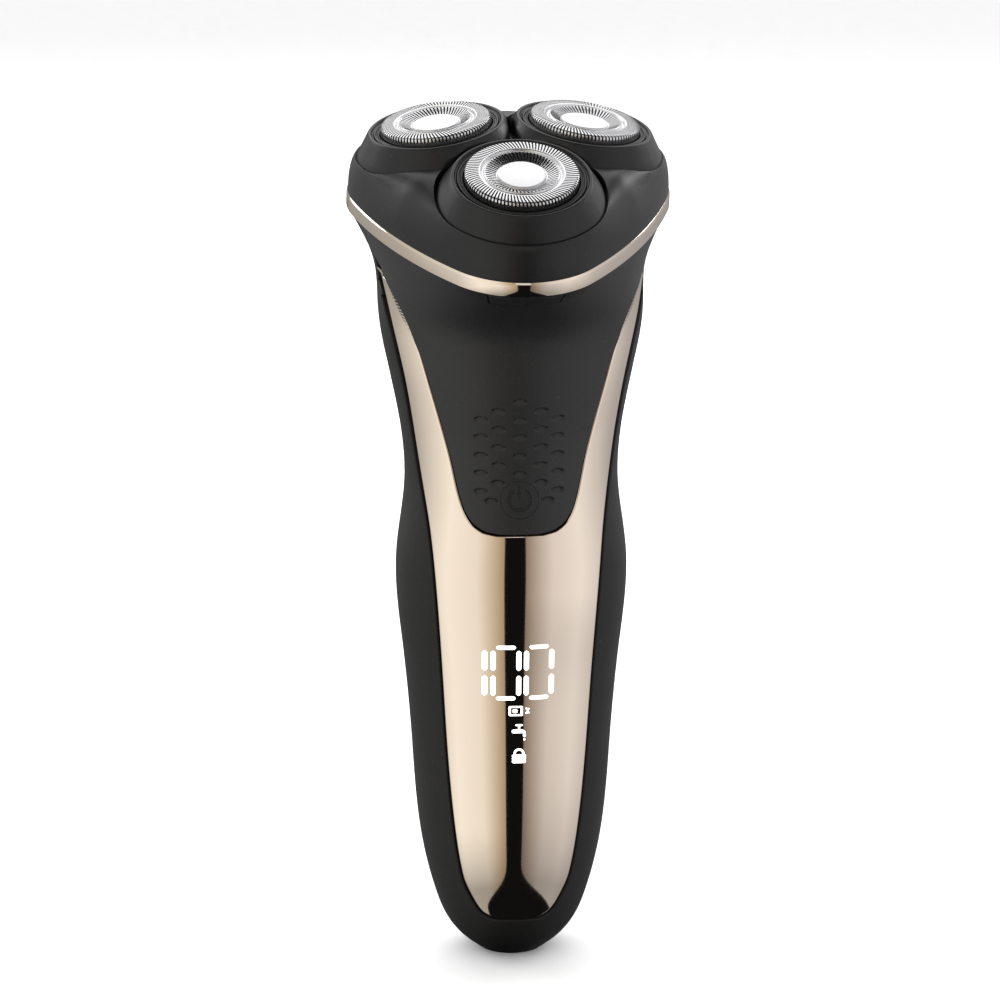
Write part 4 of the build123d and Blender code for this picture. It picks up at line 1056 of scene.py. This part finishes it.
@dataclass(frozen=True)
class Head:
    """The trim ring and the black shoulder of the head that opens."""

    depth: float = 17.6
    ring_height: float = 2.9
    corner: float = 17.2
    notch_half: float = 6.7
    seat_level: float = 12.1
    corner_shoulder: float = 1.7
    flank_shoulder: float = 5.5
    flank_rise: float = 1.2
    well: float = 16.35
    unit_lean: float = np.radians(9.0)

    def ring(self, paints: Paints) -> None:
        """Trim ring: a closed profile carried round the triangle, open at the hinge."""
        place, shape = head_place(), Triangle()
        profile = rounded_profile(
            [(-1.6, 0.1), (-0.12, 0.04), (-0.16, 2.5), (-0.5, 2.9), (-1.55, 2.88), (-1.6, 0.1)],
            [0.12, 0.12, 0.1, 0.12], 4)
        far = shape.reach(np.array([np.pi / 2]), self.corner)[0]
        gap = np.arctan2(self.notch_half, far)
        turn = np.linspace(np.pi / 2 + gap, 5 * np.pi / 2 - gap, 700)
        reach = np.stack([shape.reach(turn, self.corner + step) for step in profile[:, 0]])
        level = profile[:, 1:] - self.depth + 0 * reach
        sheet = Sheet()
        points = place.at(reach * np.cos(turn), reach * np.sin(turn), level)
        sheet.grid(points)
        for end, over in ((0, False), (-1, True)):
            rim = points[:, end]
            middle = np.repeat(rim.mean(axis=0)[None], len(rim), axis=0)
            sheet.grid(np.stack([rim, middle]), flip=over)
        hand_in(sheet.build("trim_ring_skin", [paints.of(Slot.GOLD)]),
                "head", Slot.GOLD, "trim_ring")

    def deck(self, across: Array, along: Array) -> Array:
        """Shoulder surface above a point of the head's plane.

        The top is the softened lowest of three planes that lean outward with the pods, higher
        on the flanks than at the corners. It is reached from the ring by a quarter oval.

        Args:
            across: x in the head's plane.
            along: y in the head's plane.

        Returns:
            Points in mm.
        """
        shape, turn = Triangle(), np.arctan2(along, across)
        off = np.mod(turn + np.pi / 2 + np.pi / 3, 2 * np.pi / 3) - np.pi / 3
        flank = ramp(np.radians(24), np.radians(56), np.abs(off))
        wide = self.corner_shoulder + self.flank_shoulder * flank
        inward = shape.reach(turn, self.corner - 0.42) - np.hypot(across, along)
        heads = (-np.pi / 2, np.pi / 6, 5 * np.pi / 6)
        planes = np.stack([self.seat_level - np.tan(self.unit_lean)
                           * (across * np.cos(a) + along * np.sin(a) - shape.circle)
                           for a in heads])
        top = -np.log(np.exp(-3 * planes).sum(axis=0)) / 3 + self.flank_rise * flank
        swell = np.sqrt(np.clip(1 - (1 - np.clip(inward / wide, 0, 1)) ** 2, 0, 1))
        low = self.ring_height + 0.03
        return head_place().at(across, along, low + (top - low) * swell - self.depth)

    def shoulder(self, paints: Paints) -> None:
        """Shoulder from the ring to the wells of the three pods, cut clean along each well."""
        turn = np.linspace(0, 2 * np.pi, 721)[None, :]
        outline = Triangle().reach(turn, self.corner - 0.42)
        inward = np.concatenate([0.8 * np.linspace(0, 1, 14) ** 2, np.linspace(0.8, 22, 110)[1:]])
        reach = outline - inward[:, None] * outline / outline.max()
        across, along = reach * np.cos(turn), reach * np.sin(turn)
        points, head = self.deck(across, along), head_place()
        gone = np.zeros(points.shape[:2], bool)
        for index in (1, 2, 3):
            unit = unit_place(index)
            step = points - unit.origin
            flat = step - (step @ unit.z)[..., None] * unit.z
            inside = np.linalg.norm(flat, axis=-1) < self.well
            near = inside.copy()
            near[1:], near[:-1] = near[1:] | inside[:-1], near[:-1] | inside[1:]
            wide = near | np.roll(near, 1, axis=1) | np.roll(near, -1, axis=1)
            fix = wide & ~inside
            moved = points - flat + self.well * unit_rows(flat) - head.origin
            points = np.where(fix[..., None], self.deck(moved @ head.x, moved @ head.y), points)
            gone |= inside
        drop = gone[:-1, :-1] | gone[1:, 1:] | gone[:-1, 1:] | gone[1:, :-1]
        drop |= reach[1:, :-1] < 12.0
        sheet = Sheet()
        sheet.grid(points, keep=~drop)
        piece = shell(sheet, None, 1.0, 0.06, "shoulder_skin", [paints.of(Slot.HEAD)])
        hand_in(piece, "head", Slot.HEAD)

    def build(self, paints: Paints) -> None:
        """Make the ring and the shoulder, and dress the shell under it."""
        self.ring(paints)
        self.shoulder(paints)
        paints.dress_node("head_shell", Slot.HEAD)


@dataclass(frozen=True)
class Unit:
    """One shaving unit: its pod, bezel, foil and cap, all turned about the unit's axis."""

    index: int
    valley: float = 1.2
    outer_slits: int = 96
    inner_slits: int = 60
    slit_depth: float = 0.3

    def place(self) -> Place:
        """The unit's axes."""
        return unit_place(self.index)

    def pod(self, paints: Paints) -> None:
        """Pod: a cone with a stepped recess, pressed flat where it would meet its neighbours."""
        here, head = self.place(), head_place()
        profile = rounded_profile(
            [(11.0, -8.6), (11.0, -2.45), (12.12, -2.4), (12.18, -1.75), (12.5, -1.62),
             (12.62, -1.25), (13.15, -1.12), (14.3, -2.9), (15.75, -5.1), (16.1, -6.2),
             (14.8, -6.2), (12.4, -3.6), (11.5, -3.7), (11.4, -8.6), (11.0, -8.6)],
            [0.1, 0.1, 0.12, 0.12, 0.12, 0.35, 0.5, 0.6, 0.15, 0.1, 0.3, 0.1, 0.05], 5)
        turn = np.linspace(0, 2 * np.pi, 145)
        points = here.turned(profile, turn)
        out = unit_rows((here.origin - head.origin)[None])[0]
        sideways = np.cross(head.z, out)
        for side in (-1, 1):
            wall = np.cos(np.radians(60)) * side * sideways - np.sin(np.radians(60)) * out
            over = (points - head.origin) @ wall + self.valley / 2
            points = points - np.maximum(over, 0)[..., None] * wall
        sheet = Sheet()
        sheet.grid(points, flip=True)
        piece = sheet.build(f"pod_{self.index}_skin", [paints.of(Slot.HEAD)], sharp=50)
        hand_in(piece, f"pod_{self.index}", Slot.HEAD, f"pod_{self.index}")

    def bezel(self, paints: Paints) -> None:
        """Bezel: a low ring with two ridges round the foil."""
        profile = rounded_profile(
            [(11.02, -2.38), (11.02, -1.75), (11.25, -1.6), (11.45, -1.85), (11.62, -1.85),
             (11.8, -1.52), (12.08, -1.52), (12.08, -2.38), (11.02, -2.38)],
            [0.08, 0.08, 0.06, 0.06, 0.08, 0.1, 0.05], 4)
        sheet = Sheet()
        sheet.grid(self.place().turned(profile, np.linspace(0, 2 * np.pi, 145)), flip=True)
        hand_in(sheet.build(f"bezel_{self.index}_skin", [paints.of(Slot.HEAD)]),
                f"pod_{self.index}", Slot.HEAD, f"bezel_{self.index}")

    def slit_grid(self, sheet: Sheet, profile: Array, inside: Array, count: int,
                  slant: Array) -> None:
        """Add a turned surface with slits: bars and slit floors alternate round it.

        Args:
            sheet: where the grid goes.
            profile: rows of radius and height.
            inside: 1 in the rows that the slits cross, 0 elsewhere.
            count: number of slits round the ring.
            slant: an angle added to each row.
        """
        steps = np.array([-0.25, 0.0, 0.25, 0.3, 0.5, 0.7])
        turn = (np.arange(count)[:, None] + steps[None, :]).ravel() * 2 * np.pi / count
        low = np.tile([0, 0, 0, 1, 1, 1.0], count)
        slope = unit_rows(np.gradient(profile, axis=0))
        normal = np.stack([slope[:, 1], -slope[:, 0]], axis=-1)
        place = self.place()
        depth = self.slit_depth * inside[:, None] * low[None, :]
        angle = turn[None, :] + slant[:, None]
        radius = profile[:, :1] - depth * normal[:, :1]
        height = profile[:, 1:] - depth * normal[:, 1:]
        points = place.at(radius * np.cos(angle), radius * np.sin(angle), height)
        # Faces on the slit floors and walls take the second material, near black: painted shade for
        # the gap into the head.
        crossed = inside[:-1, None] * inside[1:, None] > 0.9
        dark = (low > 0.5) | (np.roll(low, -1) != low)
        sheet.grid(points, round_trip=True, marks=(crossed & dark[None, :]).astype(int),
                   scale=(60.0, 6.0))

    def foil(self, paints: Paints) -> None:
        """Foil: two slotted rings with a groove between them, and a skirt below the rim."""
        inner = np.array([(4.3, -0.92), (4.75, -0.9), (4.85, -0.86), (4.87, -0.85), (5.4, -0.66),
                          (6.0, -0.4), (6.4, -0.2), (6.85, -0.06), (6.87, -0.055), (6.98, -0.08),
                          (7.1, -0.2), (7.2, -0.5)])
        mask = np.array([0, 0, 0, 1, 1, 1, 1, 1, 0, 0, 0, 0.0])
        sheet = Sheet()
        self.slit_grid(sheet, inner[::-1], mask[::-1], self.inner_slits,
                       (0.04 * (inner[:, 0] - 5.8))[::-1])
        outer = np.array([(7.2, -0.5), (7.55, -0.52), (7.7, -0.3), (7.8, -0.08), (7.95, -0.01),
                          (8.12, 0.0), (8.14, 0.0), (8.7, 0.02), (9.4, 0.02), (10.0, 0.0),
                          (10.35, -0.06), (10.58, -0.2), (10.7, -0.4), (10.75, -0.65),
                          (10.75, -0.98), (10.75, -1.0), (10.75, -1.15), (10.75, -3.0)])
        mask = np.array([0, 0, 0, 0, 0, 0, 1, 1, 1, 1, 1, 1, 1, 1, 1, 0, 0, 0.0])
        self.slit_grid(sheet, outer[::-1], mask[::-1], self.outer_slits,
                       (0.03 * (outer[:, 0] - 9.4))[::-1])
        under = np.array([(10.75, -3.0), (10.42, -3.0), (10.42, -1.1), (9.9, -0.5), (8.3, -0.45),
                          (7.2, -0.9), (5.2, -1.2), (4.3, -1.25)])
        sheet.grid(self.place().turned(under[::-1], np.linspace(0, 2 * np.pi, 97)))
        # The second material darkens the slits with painted shade.
        piece = sheet.build(f"foil_{self.index}_skin", [paints.of(Slot.FOIL), paints.slit])
        hand_in(piece, f"foil_{self.index}", Slot.FOIL, f"foil_{self.index}")

    def cap(self, paints: Paints) -> None:
        """Cap: a plain satin disc, very slightly domed, with a rounded edge."""
        profile = rounded_profile(
            [(0, -1.2), (4.5, -1.2), (4.52, -0.66), (4.3, -0.56), (2.5, -0.5), (0, -0.48)],
            [0.05, 0.06, 0.1, 0.4], 4)
        sheet = Sheet()
        sheet.grid(self.place().turned(profile[::-1], np.linspace(0, 2 * np.pi, 97)), flip=True,
                   scale=(20.0, 5.0))
        hand_in(sheet.build(f"foil_cap_{self.index}_skin", [paints.of(Slot.CAP)]),
                f"foil_{self.index}", Slot.CAP, f"foil_cap_{self.index}")

    def build(self, paints: Paints) -> None:
        """Make the unit's visible parts and dress its cutter."""
        self.pod(paints)
        self.bezel(paints)
        self.foil(paints)
        self.cap(paints)
        paints.dress_node(f"cutter_{self.index}", Slot.CUTTER)


@dataclass(frozen=True)
class Works:
    """The parts inside, which keep their CAD shape and get a finish."""

    finishes: tuple[tuple[str, Slot], ...] = (
        ("hinge_pin", Slot.NICKEL), ("battery", Slot.BATTERY), ("battery_tabs", Slot.NICKEL),
        ("chassis", Slot.INNER), ("chassis_screws", Slot.NICKEL), ("circuit_board", Slot.BOARD),
        ("display_module", Slot.INNER), ("key_switch", Slot.INNER),
        ("charging_socket", Slot.NICKEL), ("motor", Slot.NICKEL), ("gear_plate", Slot.INNER),
        ("chamber_floor", Slot.INNER), ("spindle_seals", Slot.SEAL),
        ("motor_pinion", Slot.GEAR), ("drive_gear_1", Slot.GEAR), ("drive_gear_2", Slot.GEAR),
        ("drive_gear_3", Slot.GEAR), ("drive_spindle_1", Slot.GEAR),
        ("drive_spindle_2", Slot.GEAR), ("drive_spindle_3", Slot.GEAR),
        ("retainer_frame", Slot.FRAME), ("retainer_knob", Slot.FRAME),
    )

    def build(self, paints: Paints) -> None:
        """Dress every inner node."""
        for node, slot in self.finishes:
            paints.dress_node(node, slot)


# ---------------------------------------------------------------- studio
@dataclass(frozen=True)
class Card:
    """One tall glowing card of the studio, part of a cylinder round the object.

    Its stops give the colour at each azimuth. Below the flare its inner edge draws back.
    """

    name: str
    stops: tuple[tuple[float, tuple[float, float, float]], ...]
    inner: float
    radius: float = 1.1
    low: float = -1.9
    high: float = 1.4
    fade: float = 0.4
    fade_from: float = -0.6
    fade_to: float = -1.0
    flare: float = 34.0
    flare_from: float = -0.78
    flare_to: float = -1.32

    def build(self) -> None:
        """Make the card and its glow."""
        outer = self.stops[-1][0] if self.inner == self.stops[0][0] else self.stops[0][0]
        level = np.linspace(self.low, self.high, 60)[:, None]
        back = np.sign(outer - self.inner) * self.flare
        edge = self.inner + back * ramp(self.flare_from, self.flare_to, level)
        first, last = (edge, outer + 0 * edge) if outer > self.inner else (outer + 0 * edge, edge)
        azimuth = first + (last - first) * np.linspace(0, 1, 61)[None, :]
        turn = np.radians(azimuth)
        points = np.stack([self.radius * np.sin(turn), -self.radius * np.cos(turn),
                           level + 0 * turn], axis=-1)
        sheet = Sheet()
        sheet.grid(points / MM)
        material = bpy.data.materials.new(self.name)
        material.use_nodes = True
        tree = material.node_tree
        tree.nodes.remove(tree.nodes["Principled BSDF"])
        glow, place = add_node(tree, "Emission"), add_node(tree, "TexCoord")
        split = add_node(tree, "SeparateXYZ")
        around = add_node(tree, "Math", operation="ARCTAN2")
        forward = add_node(tree, "Math", {1: -1.0}, operation="MULTIPLY")
        low, high = self.stops[0][0], self.stops[-1][0]
        spread = add_node(tree, "MapRange", {"From Min": np.radians(low),
                                             "From Max": np.radians(high)})
        blend = add_node(tree, "ValToRGB")
        marks = blend.color_ramp.elements
        for index, (azimuth_stop, colour) in enumerate(self.stops):
            where = (azimuth_stop - low) / (high - low)
            mark = marks[index] if index < 2 else marks.new(where)
            mark.position, mark.color = where, (*colour, 1)
        rise = add_node(tree, "MapRange", {"From Min": self.fade_to, "From Max": self.fade_from,
                                           "To Min": self.fade, "To Max": 1.0})
        wire(tree, (place.outputs["Object"], split.inputs[0]),
             (split.outputs[1], forward.inputs[0]), (split.outputs[0], around.inputs[0]),
             (forward.outputs[0], around.inputs[1]), (around.outputs[0], spread.inputs["Value"]),
             (spread.outputs["Result"], blend.inputs["Fac"]),
             (split.outputs[2], rise.inputs["Value"]),
             (blend.outputs["Color"], glow.inputs["Color"]),
             (rise.outputs["Result"], glow.inputs["Strength"]),
             (glow.outputs[0], tree.nodes["Material Output"].inputs["Surface"]))
        card = sheet.build(self.name, [material])
        card.visible_camera = card.visible_diffuse = card.visible_shadow = False


@dataclass(frozen=True)
class Studio:
    """Pale floor, soft lights, cards that leave a dark gap for the gloss, and the camera."""

    eye: tuple[float, float, float] = (-0.0522, -0.5768, 0.2402)
    target: tuple[float, float, float] = (-0.0022, 0.0, 0.0937)
    lens: float = 108.6
    floor_reach: float = 9000.0
    floor_drop: float = 0.02

    def camera(self) -> None:
        """Place the camera and aim it."""
        data = bpy.data.cameras.new("camera")
        data.lens, data.sensor_width = self.lens, 36.0
        data.clip_start = 0.01
        camera = bpy.data.objects.new("camera", data)
        bpy.context.scene.collection.objects.link(camera)
        camera.location = self.eye
        aim = Vector(self.target) - Vector(self.eye)
        camera.rotation_euler = aim.to_track_quat("-Z", "Y").to_euler()
        bpy.context.scene.camera = camera

    def floor(self) -> None:
        """A wide pale floor that gloss does not see."""
        span = np.linspace(-self.floor_reach, self.floor_reach, 3)
        across, along = np.meshgrid(span, span)
        sheet = Sheet()
        sheet.grid(np.stack([across, along, 0 * across - self.floor_drop], axis=-1))
        paint = Finish("pale_floor", (0.9, 0.9, 0.9), 0.7, relief=0.0, pattern=Pattern.SMOOTH,
                       tint=0.01).build({"handling": bpy.data.node_groups["handling"]})
        floor = sheet.build("floor", [paint])
        floor.visible_glossy = False

    @staticmethod
    def lamp(name: str, place: tuple[float, float, float], size: float, power: float) -> None:
        """Add one square area light aimed at the object's middle."""
        data = bpy.data.lights.new(name, "AREA")
        data.energy, data.size = power, size
        lamp = bpy.data.objects.new(name, data)
        bpy.context.scene.collection.objects.link(lamp)
        lamp.location = place
        aim = Vector((0, 0, 0.1)) - Vector(place)
        lamp.rotation_euler = aim.to_track_quat("-Z", "Y").to_euler()

    def world(self) -> None:
        """White to the camera, dim grey to reflections, soft fill for the rest."""
        world = bpy.data.worlds.new("studio")
        bpy.context.scene.world = world
        world.use_nodes = True
        tree = world.node_tree
        plain = tree.nodes["Background"]
        plain.inputs["Color"].default_value = (1, 1, 1, 1)
        plain.inputs["Strength"].default_value = 1.2
        clear = add_node(tree, "Background", {"Color": (1, 1, 1, 1), "Strength": 1.0})
        dark = add_node(tree, "Background", {"Strength": 0.008})
        rays = add_node(tree, "LightPath")
        first, second = add_node(tree, "MixShader"), add_node(tree, "MixShader")
        wire(tree, (rays.outputs["Is Glossy Ray"], first.inputs[0]),
             (plain.outputs[0], first.inputs[1]), (dark.outputs[0], first.inputs[2]),
             (rays.outputs["Is Camera Ray"], second.inputs[0]),
             (first.outputs[0], second.inputs[1]), (clear.outputs[0], second.inputs[2]),
             (second.outputs[0], tree.nodes["World Output"].inputs["Surface"]))

    def build(self) -> None:
        """Set up the whole studio."""
        self.camera()
        self.world()
        self.floor()
        Card("card_left", ((-165.0, (0.3, 0.3, 0.3)), (-115.0, (0.5, 0.5, 0.49)),
                           (-62.0, (1.1, 1.1, 1.06)), (-32.0, (0.98, 0.96, 0.9)),
                           (-15.0, (0.62, 0.53, 0.4)), (-8.0, (0.45, 0.36, 0.26))), -8.0).build()
        Card("card_right", ((10.0, (0.3, 0.25, 0.21)), (18.0, (0.5, 0.45, 0.41)),
                            (34.0, (0.84, 0.82, 0.82)), (62.0, (0.98, 0.98, 1.0)),
                            (115.0, (0.5, 0.5, 0.52)), (165.0, (0.3, 0.3, 0.3))), 10.0,
             fade=0.42, fade_from=-0.3, fade_to=-0.9, flare=66.0).build()
        Card("card_front", ((-8.0, (0.8, 0.8, 0.8)), (10.0, (0.8, 0.8, 0.8))), -8.0, low=0.4,
             flare=0.0).build()
        self.lamp("overhead", (0.0, 0.75, 1.0), 1.3, 8.0)
        self.lamp("back_left", (-0.9, 0.7, 0.5), 0.6, 6.0)
        self.lamp("back_right", (0.9, 0.7, 0.5), 0.6, 6.0)
        bpy.context.scene.view_settings.view_transform = "Standard"


def main() -> None:
    """Build the studio and every sub-assembly."""
    logging.basicConfig(level=logging.INFO, format="%(name)s: %(message)s")
    paints = Paints()
    Studio().build()
    Covers().build(paints)
    Head().build(paints)
    for index in (1, 2, 3):
        Unit(index).build(paints)
    Works().build(paints)


if __name__ == "__main__":
    main()
